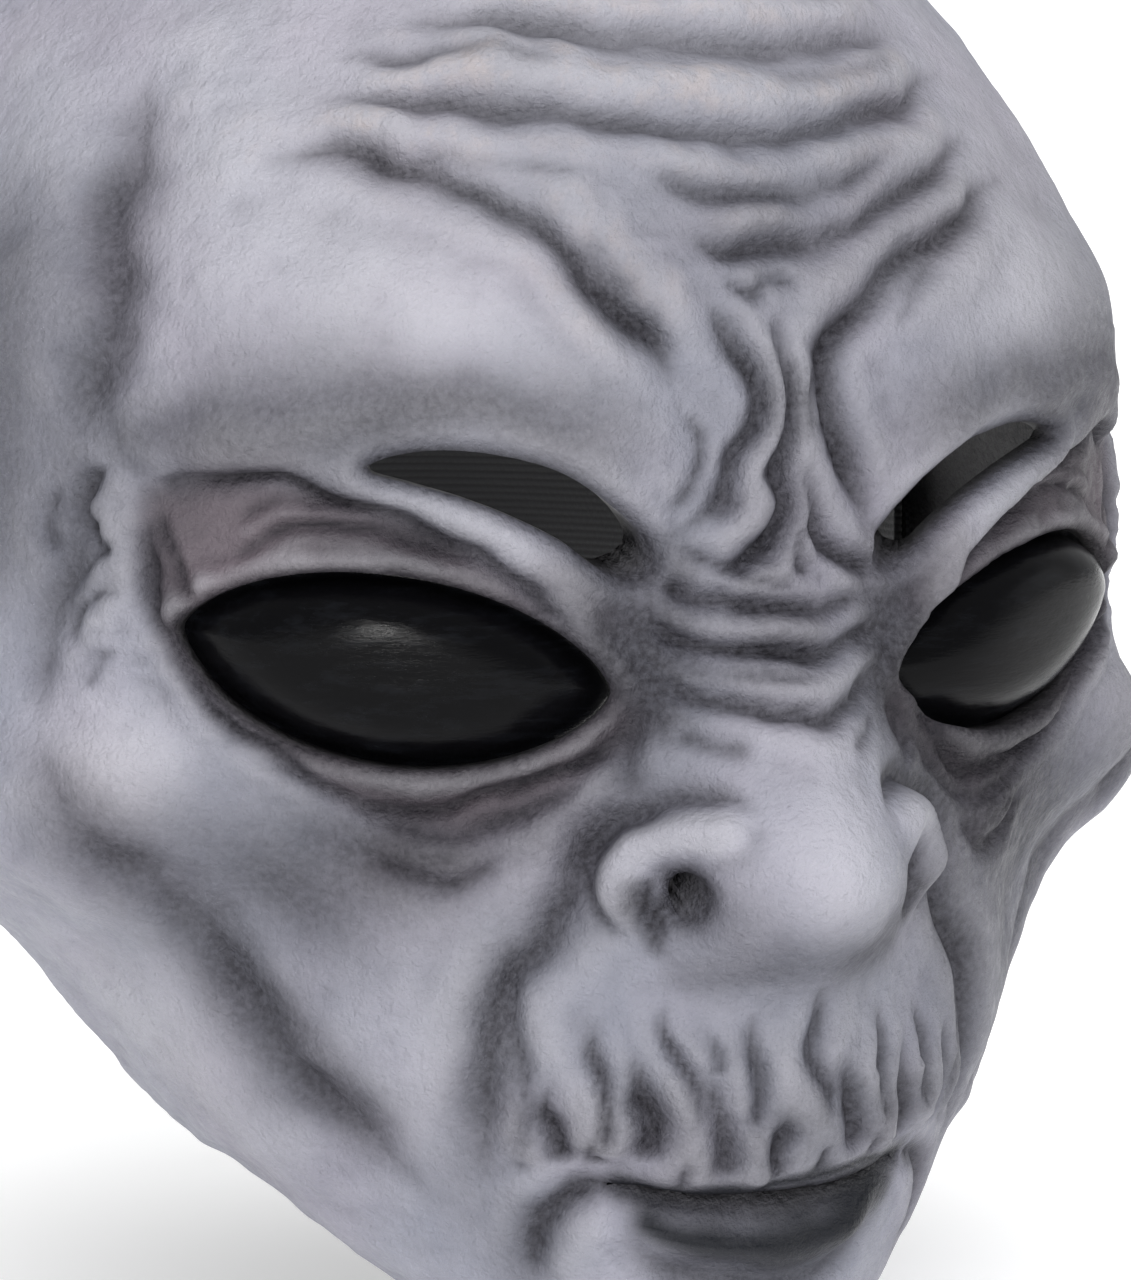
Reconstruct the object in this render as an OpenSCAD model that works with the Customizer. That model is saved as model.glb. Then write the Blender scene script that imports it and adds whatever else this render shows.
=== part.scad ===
// Over-the-face latex mask: a hollow moulded skin with domed eyes, foam fitting pads
// and an elastic head strap on rivets.
// Frame: origin at the centre of the wearer's head, face towards -Y, up +Z, millimetres.

/* [Skin] */
// Thickness of the moulded latex skin
skin_t = 2.4; // [1.6:0.2:3.2]
// Height of the crown above the head centre
crown_h = 128; // [122:1:134]
// How far the nose stands out of the face
nose_h = 22; // [16:1:26]
// How far the cheekbones stand out
cheekbone_h = 11; // [4:1:12]

/* [Eyes] */
// Azimuth of the middle of an eye, in degrees from straight ahead
eye_az = 28.5; // [28:0.5:31]
// Elevation of the middle of an eye, in degrees
eye_el = 3; // [2:0.2:5]
// Half width of an eye opening along its corner line
eye_half_w = 31.5; // [30:0.5:34]
// Height of an eye opening above its corner line
eye_upper_h = 12; // [10:0.5:14]
// Depth of an eye opening below its corner line
eye_lower_h = 15; // [12:0.5:16]
// Tilt of the corner line, outer corner up
eye_tilt = 8.5; // [5:1:12]
// Thickness of an eye dome
lens_t = 2; // [1.5:0.5:3]
// How far a dome bulges out through its opening
lens_bulge = 4.5; // [3:0.5:6]

/* [Mouth] */
// Half width of the mouth slit
mouth_half_w = 22.5; // [18:1:26]
// Half height of the mouth slit
mouth_half_h = 2.8; // [2.4:0.1:3.4]

/* [Padding] */
// Thickness of the foam fitting pads at the middle
pad_t = 9; // [6:1:12]
// Gap left for glue between skin and foam
glue_gap = 0.5; // [0.4:0.1:0.8]
// Thicker bed of glue behind the cheeks and chin, where the skin curves both ways
glue_bed = 2.2; // [2:0.1:3]

/* [Strap] */
// Width of the elastic band
strap_w = 25; // [18:1:28]
// Thickness of the elastic band
strap_t = 1.5; // [1:0.5:2]
// How far behind the head centre the band runs
strap_back_y = 108; // [100:1:114]
// Place of the rivets behind the head centre
pivot_y = 18; // [14:1:22]
// Height of the rivets above the head centre
pivot_z = 8; // [4:1:12]

/* [Rivets] */
// Radius of a rivet shank
shank_r = 1.6; // [1.4:0.1:2]
// Radius of a rivet head
head_r = 4.5; // [4:0.5:6]
// Radius of the round reinforcement where a rivet goes through
boss_r = 9; // [8:0.5:10]

/* [Hidden] */

// ---- form of the head, as a distance from the head centre in each direction ----

// Radii at the side, front and back for each 15 degrees of elevation from -90 to 90
side_r = [104, 88, 82, 87, 91, 96, 99, 101, 110, 117, 123, 127, crown_h];
front_r = [104, 106, 118, 138, 125, 111, 107, 112, 121, 127, 129, 129, crown_h];
back_r = [104, 96, 100, 110, 130, 145, 150, 145, 120, 106, 112, 123, crown_h];
row_step = 15;

// Swellings and hollows: azimuth, elevation, spread across, spread up, height.
// Those off the middle line are repeated on the other side.
bumps = [
    [46, 22, 24, 12, 5],            // brow
    [0, 14, 9, 9, 2],               // between the brows
    [0, -1, 8, 9, 6],               // bridge of the nose
    [0, -11, 9, 8, nose_h],         // nose
    [9, -12, 5, 5, 5],              // wings of the nose
    [42, 6, 18, 8, 4],              // eye socket
    [58, -10, 18, 9, cheekbone_h],  // cheekbone
    [44, -33, 14, 9, 3],            // jaw muscle
    [0, -28, 16, 10, 7],            // muzzle
    [0, -46, 12, 6, 5],             // chin
    [76, 30, 10, 22, -4]            // temple
];

// Angle from straight ahead to the trimmed edge, every 15 degrees from the top to the chin.
// The edge comes down behind the temples, leaves a tab for the rivet and sweeps along the jaw.
trim_angle = [112, 109, 108, 109, 112, 115, 112, 80, 71, 69, 75, 71, 62];
trim_step = 15;

function spline(rows, t) =
    let (n = len(rows) - 1, u = min(max(t, 0), n - 0.000001), i = floor(u), f = u - i,
        p0 = rows[max(i - 1, 0)], p1 = rows[i], p2 = rows[i + 1], p3 = rows[min(i + 2, n)])
    0.5 * (2 * p1 + (p2 - p0) * f + (2 * p0 - 5 * p1 + 4 * p2 - p3) * f * f
        + (3 * p1 - p0 - 3 * p2 + p3) * f * f * f);

function swell(az, el, b) = b[4] * exp(-pow((az - b[0]) / b[2], 2) - pow((el - b[1]) / b[3], 2));
function swell_pair(az, el, b) = swell(az, el, b) + (b[0] == 0 ? 0 : swell(-az, el, b));
function total(values, i = 0) = i == len(values) ? 0 : values[i] + total(values, i + 1);

// Outer radius of the skin in a direction
function skin_radius(az, el) =
    let (t = (el + 90) / row_step,
        side = spline(side_r, t),
        along = abs(az) < 90 ? spline(front_r, t) : spline(back_r, t))
    1 / sqrt(pow(cos(az) / along, 2) + pow(sin(az) / side, 2))
        + total([for (b = bumps) swell_pair(az, el, b)]);

function unit(v) = v / norm(v);
function ray(az, el) = [cos(el) * sin(az), -cos(el) * cos(az), sin(el)];
function az_of(d) = atan2(d[0], -d[1]);
function el_of(d) = atan2(d[2], norm([d[0], d[1]]));

// Point of the outer skin along a direction, moved in or out by lift
function on_skin(d, lift = 0) = unit(d) * (skin_radius(az_of(d), el_of(d)) + lift);

// Outer skin's distance to the side at a given depth and height
function side_x(y, z, x = 98, n = 5) =
    n == 0 ? x
    : side_x(y, z, sqrt(pow(skin_radius(atan2(x, -y), atan2(z, norm([x, y]))), 2) - y * y - z * z), n - 1);

// ---- meshes ----

// Closed shell between two stacks of rings that share their spokes.
// The first ring of each stack is one point, repeated.
module shell(outer, inner) {
    rings = len(outer);
    spokes = len(outer[0]);
    points = concat([for (ring = outer) each ring], [for (ring = inner) each ring]);
    half = rings * spokes;
    function at(i, j, side) = side * half + i * spokes + j % spokes;
    faces = concat(
        [for (i = [0:rings - 2], j = [0:spokes - 1])
            [at(i, j, 0), at(i + 1, j, 0), at(i + 1, j + 1, 0)]],
        [for (i = [1:rings - 2], j = [0:spokes - 1])
            [at(i, j, 0), at(i + 1, j + 1, 0), at(i, j + 1, 0)]],
        [for (i = [0:rings - 2], j = [0:spokes - 1])
            [at(i + 1, j + 1, 1), at(i + 1, j, 1), at(i, j, 1)]],
        [for (i = [1:rings - 2], j = [0:spokes - 1])
            [at(i, j + 1, 1), at(i + 1, j + 1, 1), at(i, j, 1)]],
        [for (j = [0:spokes - 1])
            [at(rings - 1, j, 0), at(rings - 1, j, 1), at(rings - 1, j + 1, 1)]],
        [for (j = [0:spokes - 1])
            [at(rings - 1, j, 0), at(rings - 1, j + 1, 1), at(rings - 1, j + 1, 0)]]);
    // all spokes meet at the first ring's first point
    merged = [for (f = faces) [for (k = f) k % half < spokes ? (k < half ? 0 : half) : k]];
    polyhedron(points, merged, convexity = 8);
}

// Direction a little off a middle direction: a to its side and b up, in radians at most 1
function off_axis(mid, a, b) =
    let (u = unit(cross(mid, [0, 0, 1])), v = cross(u, mid))
    unit(mid + a * -u + b * v);

// Outline of an eye at angle q, in millimetres from its middle, scaled by s
function eye_outline(q, s) =
    let (a = eye_half_w * s * cos(q),
        b = (sin(q) > 0 ? eye_upper_h : eye_lower_h) * s * sin(q) * pow(abs(sin(q)), 0.35))
    [a * cos(eye_tilt) - b * sin(eye_tilt), a * sin(eye_tilt) + b * cos(eye_tilt)];

eye_mid = ray(eye_az, eye_el);
eye_reach = skin_radius(eye_az, eye_el);

// Direction of an outline point of the right eye
function eye_ray(q, s) =
    let (p = eye_outline(q, s)) off_axis(eye_mid, p[0] / eye_reach, p[1] / eye_reach);

module mirrored(side) {
    if (side > 0)
        children();
    else
        mirror([1, 0, 0])
            children();
}

// ---- skin ----

skin_spokes = 66;
skin_rings = 23;

function trim_at(psi) = spline(trim_angle, (psi > 180 ? 360 - psi : psi) / trim_step);
function skin_ray(i, j) =
    let (psi = 360 * j / skin_spokes, rho = trim_at(psi) * i / skin_rings)
    [sin(rho) * sin(psi), -cos(rho), sin(rho) * cos(psi)];

pivot_x = side_x(pivot_y, pivot_z);
boss_out = pivot_x + 0.6;
boss_in = pivot_x - 4;

// Openings cut straight towards the head centre
cut_from = 60;
cut_to = 170;

module ray_cylinder(az, el, r) {
    rotate([0, 0, az])
        rotate([90 - el, 0, 0])
            translate([0, 0, cut_from])
                cylinder(r = r, h = cut_to - cut_from, $fn = 24);
}

// View slit over one eye: a leaf that is widest near the nose
slit = [[28.5, 16.6, 1.2], [24, 16.6, 2.8], [19, 15.4, 4], [14.5, 13.4, 5], [11.2, 11.2, 4.4]];

module view_slit() {
    for (i = [0:len(slit) - 2])
        hull() {
            ray_cylinder(slit[i][0], slit[i][1], slit[i][2]);
            ray_cylinder(slit[i + 1][0], slit[i + 1][1], slit[i + 1][2]);
        }
}

eye_sides = 42;

module eye_opening() {
    outline = [for (k = [0:eye_sides - 1]) eye_ray(360 * k / eye_sides, 1)];
    points = concat([for (d = outline) d * cut_from], [for (d = outline) d * cut_to],
        [eye_mid * cut_from, eye_mid * cut_to]);
    n = eye_sides;
    faces = concat(
        [for (k = [0:n - 1]) [n + k, (k + 1) % n, k]],
        [for (k = [0:n - 1]) [n + k, n + (k + 1) % n, (k + 1) % n]],
        [for (k = [0:n - 1]) [k, (k + 1) % n, 2 * n]],
        [for (k = [0:n - 1]) [n + (k + 1) % n, n + k, 2 * n + 1]]);
    polyhedron(points, faces, convexity = 4);
}

module nostril() {
    hull() {
        ray_cylinder(9.4, -11.8, 1.6);
        ray_cylinder(8.8, -13.8, 2.1);
    }
}

// Height of the mouth slit, which is cut straight back
mouth_z = -70;

module mouth_slit() {
    translate([0, -cut_from, mouth_z])
        rotate([90, 0, 0])
            linear_extrude(cut_to - cut_from)
                polygon([for (q = [0:15:345]) [mouth_half_w * cos(q), mouth_half_h * sin(q)]]);
}

module latex_skin() {
    outer = [for (i = [0:skin_rings]) [for (j = [0:skin_spokes - 1]) on_skin(skin_ray(i, j))]];
    inner = [for (i = [0:skin_rings]) [for (j = [0:skin_spokes - 1]) on_skin(skin_ray(i, j), -skin_t)]];
    color([0.66, 0.66, 0.70])
        difference() {
            union() {
                shell(outer, inner);
                for (side = [-1, 1])
                    mirrored(side)
                        translate([boss_in, pivot_y, pivot_z])
                            rotate([0, 90, 0])
                                cylinder(r = boss_r, h = boss_out - boss_in, $fn = 32);
            }
            for (side = [-1, 1])
                mirrored(side) {
                    view_slit();
                    eye_opening();
                    nostril();
                    translate([boss_in - 1, pivot_y, pivot_z])
                        rotate([0, 90, 0])
                            cylinder(r = shank_r + 0.1, h = boss_out - boss_in + 2, $fn = 32);
                }
            mouth_slit();
        }
}

// ---- eye domes ----

lens_rings = 9;
lens_spokes = 36;
// Size of a dome's glued flange, as a multiple of the opening
lens_flange = 1.12;
// Where the bulge starts, as a multiple of the opening
lens_foot = 0.97;

function lens_lift(s) = s > lens_foot ? 0 : (lens_bulge + skin_t) * sin(90 * (1 - pow(s / lens_foot, 2)));

module eye_dome(side) {
    rings = [for (i = [0:lens_rings]) lens_flange * i / lens_rings];
    top = [for (s = rings) [for (k = [0:lens_spokes - 1])
        on_skin(eye_ray(360 * k / lens_spokes, s), lens_lift(s) - skin_t - glue_gap)]];
    under = [for (s = rings) [for (k = [0:lens_spokes - 1])
        on_skin(eye_ray(360 * k / lens_spokes, s), lens_lift(s) - skin_t - glue_gap - lens_t)]];
    color([0.04, 0.04, 0.05])
        mirrored(side)
            shell(top, under);
}

// ---- foam pads ----

pad_rings = 6;
pad_spokes = 28;

// Foam pad behind the skin, half_w by half_h millimetres about a direction
module pad(az, el, half_w, half_h, thick, gap = glue_gap) {
    mid = ray(az, el);
    reach = skin_radius(az, el);
    function pad_ray(k, s) =
        let (q = 360 * k / pad_spokes)
        off_axis(mid, half_w * s * sign(cos(q)) * pow(abs(cos(q)), 0.7) / reach,
            half_h * s * sign(sin(q)) * pow(abs(sin(q)), 0.7) / reach);
    rings = [for (i = [0:pad_rings]) i / pad_rings];
    top = [for (s = rings) [for (k = [0:pad_spokes - 1])
        on_skin(pad_ray(k, s), -skin_t - gap)]];
    under = [for (s = rings) [for (k = [0:pad_spokes - 1])
        on_skin(pad_ray(k, s), -skin_t - gap - thick * (1 - 0.6 * pow(s, 4)))]];
    color([0.2, 0.2, 0.21])
        shell(top, under);
}

module brow_pad() {
    pad(0, 36, 46, 12, pad_t);
}

module crown_pad() {
    pad(0, 72, 30, 24, pad_t);
}

module temple_pad(side) {
    mirrored(side)
        pad(70, 28, 16, 22, pad_t);
}

module cheek_pad(side) {
    mirrored(side)
        pad(60, -17, 15, 13, pad_t, glue_bed);
}

module chin_pad() {
    pad(0, -48, 22, 9, pad_t, glue_bed);
}

// ---- strap and its fixings, stacked inwards from each boss ----

patch_t = 1.2;
washer_t = 0.8;
flange_t = 0.5;
run_gap = 0.3;
patch_x = boss_in - 0.05;
washer_x = patch_x - patch_t - 0.1;
flange_x = washer_x - washer_t - run_gap;
strap_x = flange_x - flange_t - strap_t / 2;
tail_x = strap_x - strap_t / 2 - flange_t - run_gap;

// Disc across the rivet, from x outer inwards by t
module disc(outer, t, r, hole) {
    translate([outer - t, pivot_y, pivot_z])
        rotate([0, 90, 0])
            difference() {
                cylinder(r = r, h = t, $fn = 48);
                translate([0, 0, -1])
                    cylinder(r = hole, h = t + 2, $fn = 48);
            }
}

module anchor_patch(side) {
    color([0.1, 0.1, 0.11])
        mirrored(side)
            disc(patch_x, patch_t, boss_r - 0.5, shank_r + 0.1);
}

module washer(side) {
    color([0.72, 0.72, 0.74])
        mirrored(side)
            disc(washer_x, washer_t, head_r + 0.5, shank_r + 0.1);
}

rivet_head_t = 1.6;
tail_t = 1.3;

module rivet(side) {
    color([0.75, 0.75, 0.77])
        mirrored(side)
            translate([0, pivot_y, pivot_z])
                rotate([0, 90, 0]) {
                    translate([0, 0, tail_x - tail_t])
                        cylinder(r = head_r - 1, h = tail_t, $fn = 48);
                    translate([0, 0, tail_x - tail_t / 2])
                        cylinder(r = shank_r, h = boss_out - tail_x + tail_t, $fn = 48);
                    translate([0, 0, boss_out + 0.05])
                        rotate_extrude($fn = 48)
                            polygon([[0, 0], [head_r, 0], [head_r, 0.5], [head_r - 0.9, 1.15],
                                [head_r - 2.2, 1.5], [0, rivet_head_t]]);
                }
}

// Radius of an eyelet's bore on its rivet
eyelet_bore_r = shank_r + 0.06;
eyelet_wall = 0.6;

module eyelet(side) {
    color([0.72, 0.72, 0.74])
        mirrored(side)
            translate([strap_x - strap_t / 2 - flange_t, pivot_y, pivot_z])
                rotate([0, 90, 0])
                    difference() {
                        union() {
                            cylinder(r = eyelet_bore_r + eyelet_wall, h = strap_t + 2 * flange_t, $fn = 48);
                            cylinder(r = head_r - 0.6, h = flange_t, $fn = 48);
                            translate([0, 0, strap_t + flange_t])
                                cylinder(r = head_r - 0.6, h = flange_t, $fn = 48);
                        }
                        translate([0, 0, -1])
                            cylinder(r = eyelet_bore_r, h = strap_t + 2 * flange_t + 2, $fn = 48);
                    }
}

// Half length of the straight run across the back, and where the side tabs end
back_half = 32;
tab_front = pivot_y - 10;
tab_back = pivot_y + 8;
corner_steps = 14;

// Middle line of the band seen from above, from the right tab to the left one
strap_path = concat(
    [[strap_x, tab_front], [strap_x, tab_back]],
    [for (k = [1:corner_steps]) let (q = 90 * k / corner_steps)
        [back_half + (strap_x - back_half) * cos(q), tab_back + (strap_back_y - tab_back) * sin(q)]],
    [for (k = [corner_steps:-1:1]) let (q = 90 * k / corner_steps)
        [-back_half - (strap_x - back_half) * cos(q), tab_back + (strap_back_y - tab_back) * sin(q)]],
    [[-strap_x, tab_back], [-strap_x, tab_front]]);

function heading(path, i) = unit(path[min(i + 1, len(path) - 1)] - path[max(i - 1, 0)]);
function beside(path, i, d) = let (h = heading(path, i)) path[i] + d * [h[1], -h[0]];

module strap_band() {
    n = len(strap_path);
    outline = concat(
        [for (i = [0:n - 1]) beside(strap_path, i, strap_t / 2)],
        [for (i = [n - 1:-1:0]) beside(strap_path, i, -strap_t / 2)]);
    color([0.08, 0.08, 0.09])
        difference() {
            translate([0, 0, pivot_z - strap_w / 2])
                linear_extrude(strap_w)
                    polygon(outline);
            translate([-120, pivot_y, pivot_z])
                rotate([0, 90, 0])
                    cylinder(r = eyelet_bore_r + eyelet_wall, h = 240, $fn = 48);
        }
}

slider_w = 20;
slider_h = strap_w + 8;
slider_t = strap_t + 4;

module strap_slider() {
    color([0.06, 0.06, 0.07])
        translate([0, strap_back_y, pivot_z])
            difference() {
                cube([slider_w, slider_t, slider_h], center = true);
                cube([slider_w + 2, strap_t + 2 * run_gap, strap_w + 2 * run_gap], center = true);
                for (side = [-1, 1])
                    translate([side * slider_w / 4, slider_t / 2, 0])
                        cube([slider_w / 4, slider_t, strap_w + 2 * run_gap], center = true);
            }
}

latex_skin();
eye_dome(1);  // eye_dome_right
eye_dome(-1);  // eye_dome_left
brow_pad();
crown_pad();
temple_pad(1);  // temple_pad_right
temple_pad(-1);  // temple_pad_left
cheek_pad(1);  // cheek_pad_right
cheek_pad(-1);  // cheek_pad_left
chin_pad();
anchor_patch(1);  // anchor_patch_right
anchor_patch(-1);  // anchor_patch_left
washer(1);  // washer_right
washer(-1);  // washer_left
rivet(1);  // rivet_right
rivet(-1);  // rivet_left
eyelet(1);  // eyelet_right
eyelet(-1);  // eyelet_left
strap_band();
strap_slider();
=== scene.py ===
import math

import bmesh
import bpy
import numpy as np
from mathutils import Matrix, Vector


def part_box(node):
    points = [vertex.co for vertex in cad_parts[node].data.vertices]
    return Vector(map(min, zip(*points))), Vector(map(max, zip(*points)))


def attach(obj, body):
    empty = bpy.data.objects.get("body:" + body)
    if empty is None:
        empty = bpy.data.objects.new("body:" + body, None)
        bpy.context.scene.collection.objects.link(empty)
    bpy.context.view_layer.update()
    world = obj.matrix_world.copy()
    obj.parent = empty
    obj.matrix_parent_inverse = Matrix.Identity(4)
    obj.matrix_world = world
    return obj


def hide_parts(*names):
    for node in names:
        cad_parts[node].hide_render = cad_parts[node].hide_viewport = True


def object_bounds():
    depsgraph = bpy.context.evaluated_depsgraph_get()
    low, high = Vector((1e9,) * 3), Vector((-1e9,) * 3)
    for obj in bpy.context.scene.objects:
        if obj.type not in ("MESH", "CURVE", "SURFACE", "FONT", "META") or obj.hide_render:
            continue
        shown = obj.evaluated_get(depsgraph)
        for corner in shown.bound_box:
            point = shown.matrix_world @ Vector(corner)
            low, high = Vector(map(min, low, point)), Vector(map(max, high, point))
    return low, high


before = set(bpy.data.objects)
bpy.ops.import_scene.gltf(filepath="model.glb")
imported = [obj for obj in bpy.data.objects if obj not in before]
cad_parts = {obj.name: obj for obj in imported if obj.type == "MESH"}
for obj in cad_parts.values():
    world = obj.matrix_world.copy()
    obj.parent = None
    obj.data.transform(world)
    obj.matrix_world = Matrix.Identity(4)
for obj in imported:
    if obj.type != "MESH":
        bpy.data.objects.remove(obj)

CAD_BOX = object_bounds()
MM = 0.001
RAD = math.pi / 180

# ---------------------------------------------------------------------------
# Form of the head, as in the CAD: outer radius in millimetres for a direction
# ---------------------------------------------------------------------------

ROW_STEP = 15
SIDE_R = [104, 88, 82, 87, 91, 96, 99, 101, 110, 117, 123, 127, 128]
FRONT_R = [104, 106, 118, 138, 125, 111, 107, 112, 121, 127, 129, 129, 128]
BACK_R = [104, 96, 100, 110, 130, 145, 150, 145, 120, 106, 112, 123, 128]

# azimuth, elevation, spread across, spread up, height
BUMPS = [
    (46, 22, 24, 12, 5),    # brow
    (0, 14, 9, 9, 2),       # between the brows
    (0, -1, 8, 9, 6),       # bridge of the nose
    (0, -11, 9, 8, 22),     # nose
    (9, -12, 5, 5, 5),      # wings of the nose
    (42, 6, 18, 8, 4),      # eye socket
    (58, -10, 18, 9, 11),   # cheekbone
    (44, -33, 14, 9, 3),    # jaw muscle
    (0, -28, 16, 10, 7),    # muzzle
    (0, -46, 12, 6, 5),     # chin
    (76, 30, 10, 22, -4),   # temple
]

TRIM_ANGLE = [112, 109, 108, 109, 112, 115, 112, 80, 71, 69, 75, 71, 62]
TRIM_STEP = 15
SKIN_T = 2.4
GLUE_GAP = 0.5

EYE_AZ, EYE_EL = 28.5, 3
EYE_HALF_W, EYE_UPPER_H, EYE_LOWER_H, EYE_TILT = 31.5, 12, 15, 8.5
LENS_T, LENS_BULGE, LENS_FLANGE, LENS_FOOT = 2, 4.5, 1.12, 0.97

# Millimetres on the skin for one degree of the face map
PER_DEG = 1.87


def spline(rows, t):
    rows = np.asarray(rows, float)
    last = len(rows) - 1
    u = np.clip(t, 0, last - 1e-6)
    i = np.floor(u).astype(int)
    f = u - i
    p0, p1 = rows[np.maximum(i - 1, 0)], rows[i]
    p2, p3 = rows[i + 1], rows[np.minimum(i + 2, last)]
    return 0.5 * (2 * p1 + (p2 - p0) * f + (2 * p0 - 5 * p1 + 4 * p2 - p3) * f ** 2
                  + (3 * p1 - p0 - 3 * p2 + p3) * f ** 3)


def skin_radius(az, el):
    t = (el + 90) / ROW_STEP
    side = spline(SIDE_R, t)
    along = np.where(np.abs(az) < 90, spline(FRONT_R, t), spline(BACK_R, t))
    r = 1 / np.sqrt((np.cos(az * RAD) / along) ** 2 + (np.sin(az * RAD) / side) ** 2)
    for b_az, b_el, w_az, w_el, height in BUMPS:
        for sign in ((1,) if b_az == 0 else (1, -1)):
            r = r + height * np.exp(-((az - sign * b_az) / w_az) ** 2 - ((el - b_el) / w_el) ** 2)
    return r


def ray(az, el):
    az, el = np.asarray(az) * RAD, np.asarray(el) * RAD
    return np.stack([np.cos(el) * np.sin(az), -np.cos(el) * np.cos(az), np.sin(el)], -1)


def on_skin(direction, lift=0.0):
    """Point in millimetres on the outer form along a direction, moved in or out by lift."""
    d = direction / np.linalg.norm(direction, axis=-1, keepdims=True)
    az = np.degrees(np.arctan2(d[..., 0], -d[..., 1]))
    el = np.degrees(np.arctan2(d[..., 2], np.hypot(d[..., 0], d[..., 1])))
    return d * (skin_radius(az, el) + lift)[..., None]


def tangent_axes(mid):
    """Unit directions to the right, as seen from the front, and upwards along the skin."""
    right = np.cross(mid, [0, 0, 1])
    right = right / np.linalg.norm(right)
    right = right if right[0] > 0 else -right
    up = np.cross(right, mid)
    return right, up if up[2] > 0 else -up


def map_ray(u, v):
    """Direction of a place on the face map: u degrees right and v degrees up from straight ahead."""
    rho = np.hypot(u, v) + 1e-9
    s = np.sin(rho * RAD) / rho
    return np.stack([s * u, -np.cos(rho * RAD), s * v], -1)


# ---------------------------------------------------------------------------
# Face map: a square grid over which the folds and the paint are laid
# ---------------------------------------------------------------------------

STEP = 0.45
u_line = np.arange(-118, 118 + STEP, STEP)
v_line = np.arange(-70, 114 + STEP, STEP)
U, V = np.meshgrid(u_line, v_line)

height = np.zeros_like(U)
slide = np.zeros(U.shape + (2,))
paint = {name: np.zeros_like(U) for name in ("charcoal_and_shade", "lid", "warm", "lip", "pale_and_highlight")}


def blurred(field, sigma_mm):
    """Gaussian blur of a face map field."""
    sigma = sigma_mm / PER_DEG / STEP
    reach = max(1, int(3 * sigma))
    k = np.exp(-0.5 * (np.arange(-reach, reach + 1) / sigma) ** 2)
    k /= k.sum()
    out = np.pad(field, reach, mode="edge")
    out = np.apply_along_axis(lambda row: np.convolve(row, k, mode="valid"), 1, out)
    return np.apply_along_axis(lambda col: np.convolve(col, k, mode="valid"), 0, out)


def noise(seed, grain_mm, stretch=(1, 1)):
    """Smooth random field of mean 0 and spread 1 whose lumps are about grain_mm wide."""
    cell = grain_mm / PER_DEG
    rng = np.random.RandomState(seed)
    nu = int((u_line[-1] - u_line[0]) / (cell * stretch[0])) + 5
    nv = int((v_line[-1] - v_line[0]) / (cell * stretch[1])) + 5
    values = rng.standard_normal((nv, nu))
    x = (U - u_line[0]) / (cell * stretch[0]) + 1
    y = (V - v_line[0]) / (cell * stretch[1]) + 1
    xi, yi = x.astype(int), y.astype(int)
    fx, fy = x - xi, y - yi
    fx, fy = fx * fx * (3 - 2 * fx), fy * fy * (3 - 2 * fy)
    return ((values[yi, xi] * (1 - fx) + values[yi, xi + 1] * fx) * (1 - fy)
            + (values[yi + 1, xi] * (1 - fx) + values[yi + 1, xi + 1] * fx) * fy)


# hand-made lines wander a little
WANDER = np.stack([U + 0.42 * noise(21, 9) + 0.16 * noise(22, 4),
                   V + 0.42 * noise(23, 9) + 0.16 * noise(24, 4)], -1)
UNEVEN = 1 + 0.24 * noise(25, 10) + 0.06 * noise(26, 5)


def smooth_curve(points, closed=False, per_span=10):
    """Catmull-Rom curve through a few points."""
    p = np.asarray(points, float)
    if closed:
        p = np.concatenate([p[-1:], p, p[:2]])
    else:
        p = np.concatenate([2 * p[:1] - p[1:2], p, 2 * p[-1:] - p[-2:-1]])
    f = np.linspace(0, 1, per_span, endpoint=False)[:, None]
    spans = []
    for i in range(1, len(p) - 2):
        a, b, c, d = p[i - 1], p[i], p[i + 1], p[i + 2]
        spans.append(0.5 * (2 * b + (c - a) * f + (2 * a - 5 * b + 4 * c - d) * f ** 2
                            + (3 * b - a - 3 * c + d) * f ** 3))
    return np.concatenate(spans + [p[-2:-1]])


def across(points, reach_mm, closed=False, wander=True):
    """For the part of the map near a curve: its window, the signed distance in millimetres
    (positive to the left of the way the points run), how far along, and the unit offset."""
    c = smooth_curve(points, closed)
    pad = reach_mm / PER_DEG
    lo, hi = c.min(0) - pad, c.max(0) + pad
    i0, i1 = np.searchsorted(u_line, [lo[0], hi[0]])
    j0, j1 = np.searchsorted(v_line, [lo[1], hi[1]])
    window = (slice(j0, j1), slice(i0, i1))
    place = WANDER[window] if wander else np.stack([U[window], V[window]], -1)
    best = np.full(place.shape[:2], 1e9)
    side = np.ones_like(best)
    along = np.zeros_like(best)
    offset = np.zeros_like(place)
    for k in range(len(c) - 1):
        d = c[k + 1] - c[k]
        rel = place - c[k]
        f = np.clip((rel @ d) / max(d @ d, 1e-12), 0, 1)
        off = rel - f[..., None] * d
        dist = np.hypot(off[..., 0], off[..., 1])
        near = dist < best
        best = np.where(near, dist, best)
        side = np.where(near, np.sign(d[0] * rel[..., 1] - d[1] * rel[..., 0]), side)
        along = np.where(near, (k + f) / (len(c) - 1), along)
        offset = np.where(near[..., None], off, offset)
    offset = offset / (best[..., None] + 1e-9)
    return window, side * best * PER_DEG, along, offset


def taper(along, ends):
    a, b = ends
    t = np.clip(along / max(a, 1e-3), 0, 1) * np.clip((1 - along) / max(b, 1e-3), 0, 1)
    return t * t * (3 - 2 * t)


def flipped(points, sign):
    return [(sign * u, v) for u, v in points]


def both(mirror):
    return (1, -1) if mirror else (1,)


def spray(layer, window, mist):
    """More paint of one layer, over what is there."""
    paint[layer][window] = 1 - (1 - paint[layer][window]) * (1 - mist)


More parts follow.
